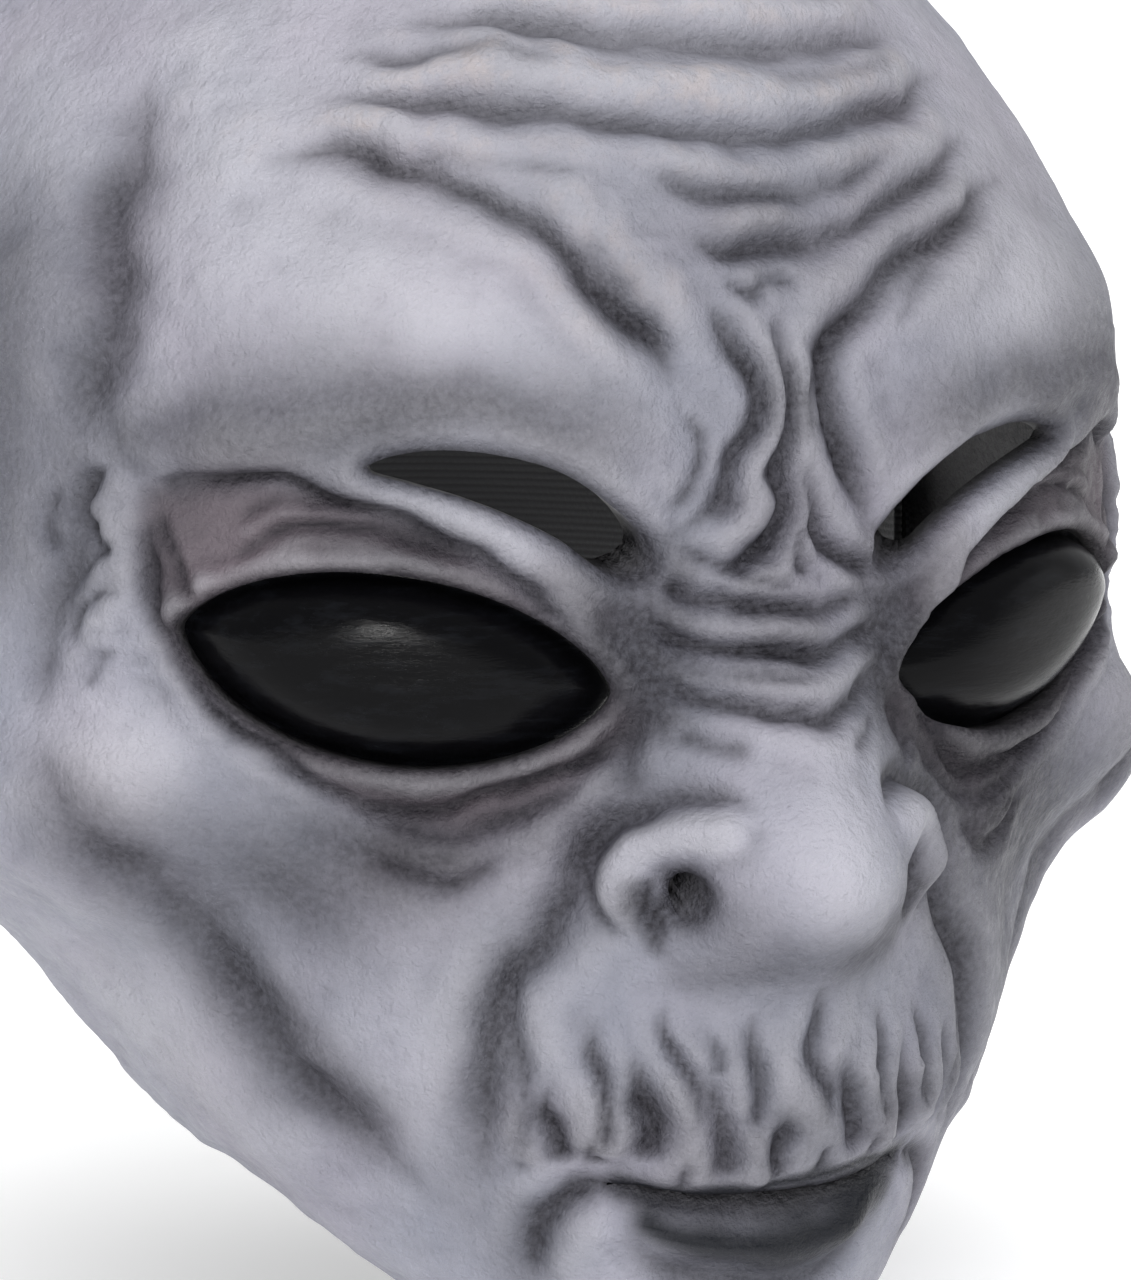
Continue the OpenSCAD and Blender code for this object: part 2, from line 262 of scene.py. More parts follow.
def crease(points, width, depth, lip=0.35, bank=0.0, tuck=0.0, dark=0.5, spread=1.8, ends=(0.25, 0.25),
           mirror=False):
    """A groove along a curve. bank swells the left side into a fold, and tuck makes it overhang."""
    for sign in both(mirror):
        window, s, along, offset = across(flipped(points, sign), 9 * width + 3)
        s = s * sign
        fade = taper(along, ends)
        reach = 0.55 + 0.45 * fade
        cut = np.exp(-np.abs(s / (width * reach)) ** 1.25)
        lips = np.exp(-((np.abs(s) - 2.4 * width) / (1.6 * width)) ** 2)
        t = np.clip(s, 0, None) / (2.6 * width)
        fold = t * np.exp(1 - t)
        height[window] += fade * UNEVEN[window] * (depth * (lip * lips - cut) + bank * fold)
        if tuck:
            push = tuck / PER_DEG * fade * np.exp(-((s - 1.2 * width) / width) ** 2)
            slide[window] -= push[..., None] * offset * np.sign(s)[..., None]
        # charcoal along the groove, with a dark core and a soft halo: charcoal paint and painted shade in the
        # crease
        core = 0.85 * np.exp(-(s / (0.62 * spread * width)) ** 2)
        halo = 0.3 * np.exp(-np.abs(s / (2.4 * spread * width)) ** 1.5)
        spray("charcoal_and_shade", window, fade * dark * np.clip(UNEVEN[window], 0.4, 1.2) * (core + halo))


def ridge(points, width, rise, ends=(0.25, 0.25), mirror=False):
    for sign in both(mirror):
        window, s, along, _ = across(flipped(points, sign), 3 * width + 3)
        height[window] += rise * taper(along, ends) * np.exp(-(s / width) ** 2)


def round_field(u, v, ru, rv, turn, sign):
    """1 at a place and fading over ru by rv degrees, turned anticlockwise, on one side of the face."""
    c, s = math.cos(turn * RAD * sign), math.sin(turn * RAD * sign)
    x, y = U - sign * u, V - v
    a, b = x * c + y * s, -x * s + y * c
    return np.exp(-(a / ru) ** 2 - (b / rv) ** 2)


def swelling(u, v, ru, rv, rise, turn=0, mirror=False):
    """A soft rise, or a hollow where rise is negative."""
    for sign in both(mirror):
        height[:] += rise * round_field(u, v, ru, rv, turn, sign)


def airbrush(layer, points, width, amount, ends=(0.3, 0.3), mirror=False):
    for sign in both(mirror):
        window, s, along, _ = across(flipped(points, sign), 3 * width)
        spray(layer, window, amount * taper(along, ends) * np.exp(-(s / width) ** 2))


def puff(layer, u, v, ru, rv, amount, turn=0, mirror=False):
    for sign in both(mirror):
        spray(layer, slice(None), amount * round_field(u, v, ru, rv, turn, sign))


# ---------------------------------------------------------------------------
# Openings, as fields that are negative inside, in millimetres
# ---------------------------------------------------------------------------

def true_distance(field):
    gv, gu = np.gradient(field, STEP * PER_DEG)
    return field / np.maximum(np.hypot(gu, gv), 0.35)


def leaf_field(points, sign=1):
    """Distance to a smooth closed outline, negative inside it."""
    outline = flipped(points, sign)
    field = np.full_like(U, 40.0)
    window, s, _, _ = across(outline, 24, closed=True, wander=False)
    curve = smooth_curve(outline, closed=True)
    u, v = U[window], V[window]
    inside = np.zeros(u.shape, bool)
    for (ua, va), (ub, vb) in zip(curve[:-1], curve[1:]):
        if va != vb:
            inside ^= ((va > v) != (vb > v)) & (u < ua + (ub - ua) * (v - va) / (vb - va))
    field[window] = np.where(inside, -1, 1) * np.abs(s)
    return field


def eye_place(sign):
    """Millimetres along and above the corner line of an eye, for each place on the map."""
    mid = ray(sign * EYE_AZ, EYE_EL)
    right, up = tangent_axes(mid)
    reach = float(skin_radius(np.array(EYE_AZ), np.array(EYE_EL)))
    d = map_ray(U, V)
    w = np.maximum(d @ mid, 0.2)
    a, b = (d @ right) / w * reach * sign, (d @ up) / w * reach
    c, s = math.cos(EYE_TILT * RAD), math.sin(EYE_TILT * RAD)
    return a * c + b * s, -a * s + b * c


def eye_level(sign):
    """1 on the outline of the eye opening, less inside: the same curve as the CAD's."""
    a, b = eye_place(sign)
    x = np.abs(a) / EYE_HALF_W
    y = np.abs(b) / np.where(b > 0, EYE_UPPER_H, EYE_LOWER_H)
    lo, hi = np.zeros_like(x), np.full_like(x, 8.0)
    for _ in range(26):
        mid = (lo + hi) / 2
        outside = (x / mid) ** 2 + (y / mid) ** (2 / 1.35) > 1
        lo, hi = np.where(outside, mid, lo), np.where(outside, hi, mid)
    return (lo + hi) / 2


eye_gap = np.minimum(*[true_distance((eye_level(sign) - 1) * EYE_UPPER_H) for sign in (1, -1)])

SLIT = [(-29.5, 17.5), (-27.5, 18.4), (-24, 18.6), (-20, 18.0), (-16, 16.7), (-12.4, 14.2), (-10.1, 12),
        (-9.2, 10.2), (-9.9, 8.9), (-11.6, 8.8), (-13.6, 9.9), (-16, 11.8), (-19.5, 13.7), (-23, 15.2),
        (-26.5, 16.4)]
slit_gap = np.minimum(leaf_field(SLIT), leaf_field(SLIT, -1))

NOSTRIL = [(-10.1, -12.0), (-9.6, -10.9), (-8.7, -10.7), (-7.9, -11.5), (-7.7, -13.0), (-8.2, -14.6),
           (-9.1, -14.6), (-9.9, -13.3)]
nostril_gap = np.minimum(leaf_field(NOSTRIL), leaf_field(NOSTRIL, -1))

MOUTH = [(-11.6, -32.6), (-8.5, -32.1), (-4, -31.9), (0, -31.7), (4, -31.9), (8.5, -32.1), (11.6, -32.6),
         (8, -33.1), (4, -33.2), (0, -33.3), (-4, -33.2), (-8, -33.1)]
mouth_gap = leaf_field(MOUTH)

# the rivets of the strap, each through a flat boss
PIVOT_Y, PIVOT_Z = 18, 8
BOSS_R, BOSS_T, RIVET_HEAD_T, SHANK_HOLE_R = 9, 4.6, 1.65, 1.8
SIDE_X = 60    # further out than this, a point is on the side of the head
BOSS_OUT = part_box("rivet_right")[1][0] / MM - RIVET_HEAD_T
BOSS_IN = BOSS_OUT - BOSS_T
form = on_skin(map_ray(U, V))
rivet_reach = np.hypot(form[..., 1] - PIVOT_Y, form[..., 2] - PIVOT_Z)
rivet_reach = np.where(np.abs(form[..., 0]) > SIDE_X, rivet_reach, 40)
rivet_gap = true_distance(rivet_reach - SHANK_HOLE_R)

rho_map = np.hypot(U, V)
psi_map = np.degrees(np.arctan2(U, V))
trim_gap = (spline(TRIM_ANGLE, np.abs(psi_map) / TRIM_STEP) - rho_map) * PER_DEG

# ---------------------------------------------------------------------------
# Sculpting: large forms first, then folds, then fine wrinkles
# ---------------------------------------------------------------------------

# brow swellings that hang over the view slits
swelling(-25, 26, 15, 7.5, 4.5, turn=-4, mirror=True)
swelling(-13, 18.5, 7, 5, 3.2, turn=-35, mirror=True)
# cheek, cheekbone and hollow
swelling(-49, -6.5, 9, 5.5, 3.0, turn=25, mirror=True)
swelling(-37, -19, 10, 6, -3.0, turn=-35, mirror=True)
swelling(-25, -24, 6, 7, 1.5, mirror=True)
# muzzle over the teeth, and the dip under the nose
swelling(0, -24, 10, 6, 2.5)
swelling(0, -37.5, 9, 3, -1.5)
swelling(0, -42.5, 8, 4, 2.0)
# wings of the nose and the side of its tip
ridge([(-5.5, -9.2), (-7.2, -8.1), (-9.6, -8.4), (-11.4, -10.6), (-11.6, -13.2), (-10.4, -15.2)], 2.6, 3.0,
      ends=(0.3, 0.25), mirror=True)
swelling(0, -10.5, 4.5, 5, 2.0)
swelling(-9, -12.6, 1.6, 2.6, -3.2, mirror=True)

# lid that fills the space between the view slit and the eye
swelling(-33, 12.5, 10, 3.4, 1.6, turn=-18, mirror=True)

UPPER_LID = [(-46, 16.8), (-43.5, 17.6), (-39, 17.6), (-35, 17.0), (-31, 15.9), (-27, 14.2), (-23.5, 11.9),
             (-20.5, 9.7), (-17.5, 7.1), (-14, 3.9)]
crease(UPPER_LID, 1.3, 1.8, lip=0.2, bank=1.3, tuck=0.8, dark=0.85, spread=1.7, ends=(0.1, 0.12), mirror=True)
crease([(-41, 11.2), (-37, 12.7), (-32.5, 13.3), (-28.5, 12.9), (-24.5, 11.6), (-21.5, 9.6)], 0.9, 1.0,
       lip=0.5, dark=0.55, spread=1.7, mirror=True)
crease([(-40, 13.6), (-36, 14.9), (-32, 15.0)], 0.8, 0.5, dark=0.3, mirror=True)
crease([(-46.3, 16.2), (-45.2, 12.4), (-43.8, 9.2), (-42.4, 7.4)], 1.0, 1.1, bank=0.4, dark=0.7, spread=1.8,
       mirror=True)

LOWER_LID = [(-46.6, 16.0), (-46.8, 10.5), (-45, 4.6), (-42.2, 0.6), (-38.2, -3.0), (-34, -5.9), (-29, -7.8),
             (-24.5, -8.2), (-19.5, -6.9), (-15, -4.3), (-11.2, -0.9)]
crease(LOWER_LID, 1.3, 1.6, lip=0.4, bank=0.7, tuck=0.5, dark=0.8, spread=1.9, ends=(0.1, 0.1), mirror=True)
crease([(-31.5, -7.9), (-28, -9.8), (-24.5, -10.5), (-20.5, -9.8), (-16.2, -7.3), (-14, -4.8)], 1.1, 1.1,
       bank=0.5, dark=0.65, mirror=True)
crease([(-31, -10.4), (-28.5, -12.6), (-26, -14), (-23.5, -14), (-21.5, -12.6), (-19.3, -10.8)], 1.4, 1.2,
       bank=0.8, dark=0.55, mirror=True)
crease([(-28.5, -10.6), (-25.5, -12.1), (-22.5, -11.7)], 0.8, 0.6, dark=0.35, mirror=True)

# forehead, running from one side to the other
crease([(-22.5, 49.5), (-17, 48.7), (-12, 46.8), (-6, 45.3), (0, 44.6), (7, 44.6), (14, 45.6), (21, 47.4)],
       2.0, 1.9, lip=0.6, bank=0.8, dark=0.26)
crease([(-31, 44), (-25, 43.3), (-18, 42), (-11, 40.1), (-5, 38.7), (1, 38.4), (8, 38.8), (14, 40.6),
        (20, 43), (27, 46)], 1.8, 2.1, lip=0.6, bank=0.9, tuck=0.4, dark=0.45)
crease([(-9, 35.4), (-4, 34.2), (2, 34), (8, 35), (15, 37.6)], 1.4, 1.4, lip=0.5, bank=0.6, dark=0.45)
crease([(-7.5, 31.8), (-2, 30.8), (5, 31.2), (11, 32.9), (18, 36), (25, 39.4)], 1.6, 1.6, lip=0.5, bank=0.7,
       dark=0.5)
crease([(-18, 53.5), (-9, 51.6), (2, 50.8), (13, 51.6), (22, 54)], 2.0, 1.1, lip=0.6, dark=0.22)
crease([(-27, 47.2), (-21, 46.4), (-15, 44.8), (-9, 43)], 1.2, 0.8, dark=0.3)
crease([(3, 42), (10, 42.3), (17, 44.6)], 1.2, 0.8, dark=0.3)
crease([(-14, 57), (-4, 55.6), (8, 55.8)], 1.8, 0.6, dark=0.2)
crease([(-24, 38.6), (-18, 37.6), (-12, 35.8)], 1.0, 0.6, dark=0.3)
crease([(8, 48.6), (14, 49.4), (20, 51.6)], 1.2, 0.6, dark=0.25)

# the two deep grooves that frame the brows
crease([(-34, 40.6), (-29, 40.2), (-25, 38.6), (-20.5, 36.2), (-16.5, 34), (-14, 31.6), (-12, 28.9),
        (-9.6, 26), (-8, 23.6), (-6.8, 21)], 1.8, 2.4, lip=0.5, bank=1.0, tuck=0.5, dark=0.75)
crease([(31, 38), (23, 34.4), (17.5, 31.6), (12.5, 29.4), (8.6, 27.2), (5.4, 24.6), (4.2, 21.4), (4.8, 18.4),
        (6.2, 15.8), (7.8, 13.4), (9.6, 11.6)], 1.8, 2.4, lip=0.5, bank=-0.6, dark=0.75)
crease([(-12.6, 33.2), (-11.6, 30.4), (-9.4, 28)], 1.0, 0.8, dark=0.35)
crease([(16, 29.6), (12.4, 27.2), (10.4, 24.6)], 1.0, 0.7, dark=0.3)

# frown between the brows
crease([(-5.6, 27.4), (-3.6, 24.6), (-1.8, 21.8), (-1.5, 19), (-2.3, 17.2), (-3.8, 15), (-6, 13.3),
        (-8.4, 11.8)], 1.3, 1.9, lip=0.6, bank=0.6, dark=0.7)
crease([(0.4, 26.4), (0.5, 23), (0.9, 20.4), (0.8, 17.8), (0.3, 15), (-1.2, 11.8), (-3.6, 9.8), (-6.4, 8.9)],
       1.3, 1.9, lip=0.6, bank=0.5, dark=0.7)
crease([(1.9, 17), (2.6, 13), (4.8, 10.2), (7.6, 8.8), (9.8, 8.2)], 1.2, 1.6, lip=0.5, dark=0.65)
crease([(-6.6, 20.6), (-5.6, 17.8), (-6.8, 15.2), (-9, 13)], 1.0, 1.1, dark=0.5)
crease([(-0.4, 14.6), (-1.8, 11.2), (-4.6, 8.4)], 0.8, 0.9, dark=0.45)
crease([(3.6, 22.8), (2.4, 20.2), (2.8, 17.6)], 0.9, 1.0, dark=0.45)
crease([(1.6, 13.8), (0.6, 10.6), (1.2, 8.2)], 0.8, 0.9, dark=0.45)
crease([(-3.8, 28.8), (-1.4, 27.4), (0.2, 28.6), (3.4, 27.6)], 1.1, 0.9, dark=0.4)
ridge([(-0.6, 27), (-0.4, 22), (-0.6, 18), (-2.6, 13.6), (-5.8, 10.6)], 1.5, 1.0)
ridge([(2.2, 24), (2.0, 20), (1.6, 16), (0.6, 12)], 1.4, 0.9)

# bridge of the nose
crease([(-9.8, 9.4), (-7, 7.9), (-4, 6.8), (-0.5, 6.3), (4, 6.1), (9.8, 7)], 1.3, 1.7, lip=0.6, dark=0.7,
       ends=(0.15, 0.15))
crease([(-10.2, 6.2), (-6.6, 4.6), (-3.4, 3.6), (0.5, 3.3), (5, 3.5), (10, 4.6)], 1.5, 2.0, lip=0.6, bank=0.6,
       tuck=0.4, dark=0.85, ends=(0.12, 0.12))
crease([(-9.4, 2.2), (-6.6, 0.7), (-4.2, -0.5), (-1.4, -1.4), (1.6, -1.4), (5.6, -0.4), (9.2, 1.9)], 1.4, 1.6,
       lip=0.6, bank=0.4, dark=0.65, ends=(0.15, 0.15))
crease([(-8.2, -1.8), (-6, -3), (-3.6, -4)], 1.1, 0.9, dark=0.4)
crease([(2.6, -3.6), (5.4, -2.8), (8, -1)], 1.1, 0.9, dark=0.4)
crease([(-9.6, 4.4), (-6.4, 2.6), (-3.6, 1.6), (0, 1.2), (3.6, 1.5)], 0.9, 0.9, dark=0.45)
crease([(-8.4, 11.2), (-5.4, 9.9), (-2.4, 8.6), (0.8, 8)], 0.8, 0.8, dark=0.4)

# sides of the nose
crease([(-4.2, -7.4), (-6.8, -5.9), (-10.4, -6.4), (-13.2, -9.2), (-14, -12.4), (-13, -15.4), (-11, -17)],
       1.3, 1.6, lip=0.2, dark=0.5, mirror=True)
crease([(-10.2, -11.2), (-10.3, -13.6), (-9.8, -16.2)], 0.9, 1.2, dark=0.8, mirror=True)
crease([(-11, -0.4), (-11.6, -3.6), (-13, -6.6)], 1.3, 1.0, dark=0.5, mirror=True)

# folds from the nose to the chin
crease([(-9.4, -5.2), (-12, -7.2), (-14.4, -10), (-15.6, -13.6), (-16.6, -17), (-18.4, -20.4), (-19.6, -24),
        (-20, -28), (-19.6, -32), (-18.6, -36)], 2.4, 2.2, lip=0.35, dark=0.6, spread=2.0, mirror=True)
crease([(-17, -18.6), (-18, -22), (-17.6, -26), (-16.6, -30), (-16.4, -34)], 1.3, 1.0, dark=0.4, mirror=True)
crease([(-10.8, -32.6), (-12.8, -33.2), (-14.2, -34.8), (-14.7, -37.6), (-14.2, -41.4)], 1.4, 1.5, bank=0.5,
       dark=0.65, mirror=True)

# upright furrows over the upper lip: path, width, depth, share of charcoal
FURROWS = [
    ([(-15.8, -24.8), (-15.9, -27.6), (-14.6, -29.6), (-13.9, -31.6)], 1.5, 2.0, 0.75),
    ([(-13.6, -21.2), (-13.4, -24.2), (-12.6, -26.4), (-11.4, -30.6)], 1.1, 1.5, 0.6),
    ([(-11.2, -23.4), (-10.7, -26.2), (-9.6, -28.2), (-9.3, -30.4)], 1.6, 2.4, 0.85),
    ([(-8.4, -19.6), (-8.8, -22.4), (-7.4, -25.4), (-7.0, -28.4)], 1.0, 1.3, 0.5),
    ([(-6.2, -23.8), (-5.9, -26.4), (-4.7, -28.6), (-4.6, -30.8)], 1.6, 2.2, 0.8),
    ([(-3.4, -19.8), (-3.6, -22.6), (-2.6, -25.2), (-2.9, -27.6)], 1.2, 1.4, 0.5),
    ([(-1.6, -25.2), (-0.9, -27.4), (-1.2, -29.2), (-0.4, -30.6)], 1.3, 1.9, 0.8),
    ([(0.7, -17.4), (1.6, -20.6), (1.2, -23.6), (2.3, -27.8)], 1.4, 1.7, 0.6),
    ([(3.9, -22.6), (3.5, -25.4), (4.6, -27.8), (4.3, -30.4)], 1.6, 2.3, 0.85),
    ([(6.4, -20.4), (7.2, -23.2), (6.7, -25.8), (7.5, -29.4)], 1.1, 1.5, 0.55),
    ([(9.7, -23.8), (9.0, -26.6), (10.0, -28.8), (9.7, -31.0)], 1.5, 2.2, 0.8),
    ([(11.6, -21.6), (12.4, -24.6), (11.8, -27.2), (12.4, -30.2)], 1.1, 1.6, 0.6),
    ([(15.2, -24.4), (14.6, -27.2), (14.9, -29.2), (14.1, -31.6)], 1.5, 1.9, 0.75),
    ([(-12.4, -28.6), (-12.6, -30.2), (-12.1, -31.4)], 0.9, 0.9, 0.6),
    ([(-6.0, -21.4), (-5.4, -23.2), (-5.6, -24.8)], 0.9, 0.9, 0.35),
    ([(-7.4, -29.2), (-7.0, -30.4), (-6.7, -31.2)], 0.8, 0.8, 0.6),
    ([(2.2, -29.0), (2.0, -30.2), (2.3, -31.0)], 0.8, 0.9, 0.6),
    ([(6.0, -28.8), (6.2, -30.2), (5.9, -31.0)], 0.8, 0.8, 0.55),
]
for path, width, depth, share in FURROWS:
    crease(path, width, depth, lip=0.6, dark=share, spread=1.35, ends=(0.5, 0.14))

# lips
ridge([(-11.6, -31.6), (-6, -30.6), (0, -30.1), (6, -30.6), (11.6, -31.6)], 1.5, 1.0)
ridge([(-10.4, -34.2), (-5, -35.3), (0, -35.6), (5, -35.3), (10.4, -34.2)], 2.2, 1.8)
crease([(-10.8, -35.3), (-6, -37.2), (0, -38), (6, -37.2), (10.8, -35.3)], 1.8, 1.3, dark=0.45)

# temple groove, then the folds beside the eye
crease([(-40, 53), (-43, 44), (-45, 37.6), (-46.8, 31), (-49, 26), (-51.5, 20.5)],
       6.0, 4.0, lip=0.25, dark=0.3, spread=1.3, mirror=True)
crease([(-50.5, 21), (-52.5, 15), (-54, 9), (-56, 3), (-57, -3)], 3.6, 1.8, dark=0.3, mirror=True)
crease([(-48.4, 19.4), (-50.8, 17.0), (-51.0, 13.8), (-49.6, 11.2)],
       1.4, 1.3, bank=0.6, dark=0.4, mirror=True)
crease([(-49.0, 12.8), (-51.2, 12.2), (-53.4, 9.6)], 0.9, 0.8, bank=0.4, dark=0.35, mirror=True)
crease([(-47.9, 8.6), (-50.2, 9.0), (-52.6, 6.2), (-53.2, 3.4)], 1.2, 0.9, bank=0.5, dark=0.3, mirror=True)
crease([(-49.0, 4.6), (-51.4, 3.6), (-52.4, 0.2)], 1.0, 0.6, dark=0.22, mirror=True)
crease([(-52.8, 18.0), (-55.2, 15.0), (-54.8, 11.4)], 1.5, 0.9, dark=0.25, mirror=True)

# cheek band from the ear to the chin
crease([(-57, -2), (-54, -8), (-50.5, -12.6), (-46.5, -17), (-43, -21.4), (-39, -26), (-34.5, -31),
        (-29.5, -34), (-25, -36), (-21, -39.4)], 4.5, 2.4, lip=0.3, dark=0.45, spread=1.7, mirror=True)

# the socket is a step lower than the brow and cheek, and the lids rise to the eye
SOCKET = [(-46.6, 16.4), (-43.5, 17.6), (-39, 17.6), (-35, 17), (-31, 15.9), (-27, 14.2), (-23.5, 11.9),
          (-20.5, 9.7), (-17.5, 7.1), (-14, 3.9), (-10.6, -0.4), (-11.6, -3.4), (-16.2, -7.3), (-20.5, -9.8),
          (-24.5, -10.5), (-28, -9.8), (-34, -6.4), (-38.4, -3.2), (-42.4, 0.6), (-45.2, 4.6), (-47, 10.5)]
socket_gap = np.minimum(leaf_field(SOCKET), leaf_field(SOCKET, -1))
height -= 1.7 / (1 + np.exp(socket_gap / 0.8))
height += 2.5 * np.exp(-(np.maximum(eye_gap, 0) / 3.0) ** 2) * (eye_gap < 12)
# brow edge that overhangs the socket
ridge([(-46, 19.4), (-40, 20.6), (-34, 21), (-27, 21), (-20, 20.2), (-14, 17.4), (-10.6, 14)],
      2.6, 1.5, mirror=True)
ridge([(-31, 17), (-26, 14.8), (-21, 11.8), (-16, 8), (-12.6, 4.8)], 1.7, 0.9, mirror=True)

# fine wrinkles and unevenness of a hand-sculpted skin
forehead = np.exp(-(U / 24) ** 2 - ((V - 42) / 13) ** 2)
frown = np.exp(-(U / 9) ** 2 - ((V - 14) / 13) ** 2)
lids = np.exp(-((eye_gap - 4) / 5) ** 2) * (eye_gap > 0)
height += 0.28 * forehead * noise(3, 2.6, (4.0, 1.0)) + 0.18 * forehead * noise(4, 1.6, (3.0, 1.0))
height += 0.22 * frown * noise(5, 1.8) + 0.16 * lids * noise(6, 1.5, (2.2, 1.0))
crow = np.exp(-((np.abs(U) - 51) / 3.5) ** 2 - ((V - 10) / 8) ** 2)
height += 0.4 * crow * noise(10, 1.7, (1.8, 1.0))
height += 0.35 * noise(7, 14) + 0.16 * noise(8, 5) + 0.05 * noise(9, 2.0)

# edges of the openings roll inwards
for gap, drop, reach in ((eye_gap, 1.5, 1.0), (slit_gap, 1.3, 0.9), (nostril_gap, 1.2, 0.9),
                         (mouth_gap, 1.2, 0.9), (trim_gap, 0.8, 1.2)):
    height -= drop * np.exp(-np.maximum(gap, 0) / reach)
height += 0.5 * np.exp(-((eye_gap - 2.3) / 1.3) ** 2)
height += 0.7 * np.exp(-((slit_gap - 2.2) / 1.3) ** 2)
# the strap runs close to the skin round each rivet, which is smooth there
height *= 1 - np.exp(-(rivet_reach / 22) ** 4)

# ---------------------------------------------------------------------------
# Airbrushed paint, painted shade and painted highlights
# ---------------------------------------------------------------------------

def strokes(layer, rows, mirror=True, ends=(0.3, 0.3)):
    """Airbrush strokes, each a line with its width in millimetres and its amount."""
    for points, width, amount in rows:
        airbrush(layer, points, width, amount, ends=ends, mirror=mirror)


def puffs(layer, rows, mirror=True):
    """Soft round patches, each with its place, two radii in degrees, amount and turn."""
    for u, v, ru, rv, amount, turn in rows:
        puff(layer, u, v, ru, rv, amount, turn=turn, mirror=mirror)


def rim_shade(gap, amount, reach):
    """Painted shade, in charcoal, that fades away from an opening."""
    paint["charcoal_and_shade"] = np.maximum(paint["charcoal_and_shade"], amount * np.exp(-np.maximum(gap, 0) / reach))


# lids: purple grey, fading below the eye
paint["lid"] = 1 / (1 + np.exp(socket_gap / 1.1))
strokes("lid", [
    ([(-31, -10), (-26, -12.4), (-20, -11)], 5, 0.6),
    ([(-46, 18.5), (-38, 18.8), (-31, 18)], 3.5, 0.45),
    ([(-20, 11.5), (-15, 7.5), (-11, 4)], 3.5, 0.5),
])
# painted shade all round the eyes, darkest in the corners
rim_shade(eye_gap, 0.95, 1.2)
strokes("charcoal_and_shade", [
    ([(-45.6, 14), (-44.8, 9), (-42.6, 4), (-38, -1.4), (-31, -5), (-24, -6.4), (-16, -3.6), (-11, 0)],
     3.5, 0.5),
    ([(-40, 10.5), (-33, 11.6), (-26, 10.6), (-20, 8), (-14.4, 3.4)], 2.6, 0.5),
    ([(-16, 6), (-12.4, 3), (-10.4, 0.4), (-11, -3)], 5, 0.75),
    ([(-10.6, 9), (-10.2, 6), (-9.6, 3), (-10, -1), (-11.4, -5)], 5, 0.7),
    ([(-31, -9), (-26, -11.6), (-20, -10.4), (-15, -6)], 5, 0.5),
])
puff("charcoal_and_shade", -30, -12, 8, 4, 0.8, turn=-25, mirror=True)
# painted shadow above the slits and under the brows
rim_shade(slit_gap, 0.8, 1.1)
airbrush("charcoal_and_shade", [(-50, 20), (-44, 21), (-37, 21.2), (-30, 20.6), (-24, 20.6), (-18, 19.6)], 6.5, 0.62,
         ends=(0.1, 0.4), mirror=True)
strokes("charcoal_and_shade", [
    ([(-44, 23.5), (-34, 24), (-24, 23)], 9, 0.3),
    ([(-9.4, 13), (-8.2, 10), (-8.6, 7)], 3.5, 0.5),
    ([(-32, 20), (-26, 21), (-20, 20.6), (-15, 18.6), (-11, 15)], 3.0, 0.45),
])
# painted shade round the nostrils and mouth, and black paint on the lips
rim_shade(nostril_gap, 0.9, 1.0)
airbrush("charcoal_and_shade", [(-10.2, -12.4), (-10.2, -15), (-9.6, -17.4)], 1.4, 0.85, mirror=True)
rim_shade(mouth_gap, 0.95, 1.3)
airbrush("lip", [(-11.8, -32.5), (-8.5, -31.9), (-4, -31.5), (0, -31.3), (4, -31.5), (8.5, -31.9),
                 (11.8, -32.5)], 1.5, 0.95, ends=(0.06, 0.06))
airbrush("lip", [(-10.6, -33.6), (-6, -34.5), (0, -34.9), (6, -34.5), (10.6, -33.6)], 3.0, 1.0,
         ends=(0.12, 0.12))
airbrush("lip", [(-8.6, -35), (0, -36.2), (8.6, -35)], 2.4, 0.8, ends=(0.25, 0.25))
airbrush("lip", [(3, -34.4), (7.6, -34.2), (11.4, -33.4)], 2.6, 0.7)
# painted shade on the muzzle, darkest between the furrows just over the lip
strokes("charcoal_and_shade", [
    ([(-15, -29.4), (-8, -29), (0, -28.6), (8, -29), (15, -29.4)], 6, 0.42),
    ([(-16, -25), (-8, -24), (0, -22), (8, -24), (16, -25)], 9, 0.2),
], mirror=False)
strokes("charcoal_and_shade", [
    # painted shade under and beside the nose
    ([(0, -16), (-6, -17.4), (-10.4, -17.4)], 3.4, 0.42),
    ([(-11, 0), (-11.6, -4), (-13.4, -8), (-15.6, -13)], 4, 0.4),
    # painted shade on the temples and sides of the head
    ([(-42.6, 50), (-44.6, 41), (-46.6, 32), (-50, 23), (-54, 14)], 5.5, 0.55),
    ([(-52, 52), (-55, 40), (-58, 28), (-62, 14), (-64, 2)], 17, 0.55),
    ([(-68, 54), (-74, 36), (-80, 18), (-84, 0), (-80, -16)], 30, 0.5),
    ([(-46, 20), (-51, 15), (-53.5, 9), (-52, 4)], 6, 0.35),
    # painted shade on the cheeks and jaw
    ([(-58, -1), (-54.4, -8), (-50, -13.6), (-44, -20.6), (-37, -28.4), (-29, -34), (-21, -40)], 8, 0.55),
    ([(-46, -18), (-38, -26), (-30, -32), (-24, -37)], 5, 0.35),
    ([(-13, -8), (-15.4, -14), (-18.4, -20), (-20, -27), (-19.6, -35), (-18, -42)], 5.5, 0.42),
    ([(-14.6, -33), (-15, -38), (-14, -44)], 4, 0.35),
])
# painted shade in the hollows and corners of the face
puffs("charcoal_and_shade", [
    (6.4, -13, 2.6, 3.6, 0.4, 0),       # beside the tip of the nose
    (-36, -15.6, 8.5, 5, 0.75, -32),    # cheek hollow
    (-45, -9.6, 6, 3, 0.2, -30),
    (-10, 4.4, 3, 7, 0.6, 0),           # sides of the bridge
    (-12.5, 11, 3.5, 3.5, 0.4, 0),
    (-21, 21.5, 10, 2.8, 0.45, -8),     # over the slits
    (-13, 19.5, 6, 3.5, 0.4, -30),
    (-13, 5.5, 4.5, 6, 0.65, 20),       # inner corners of the eyes
])
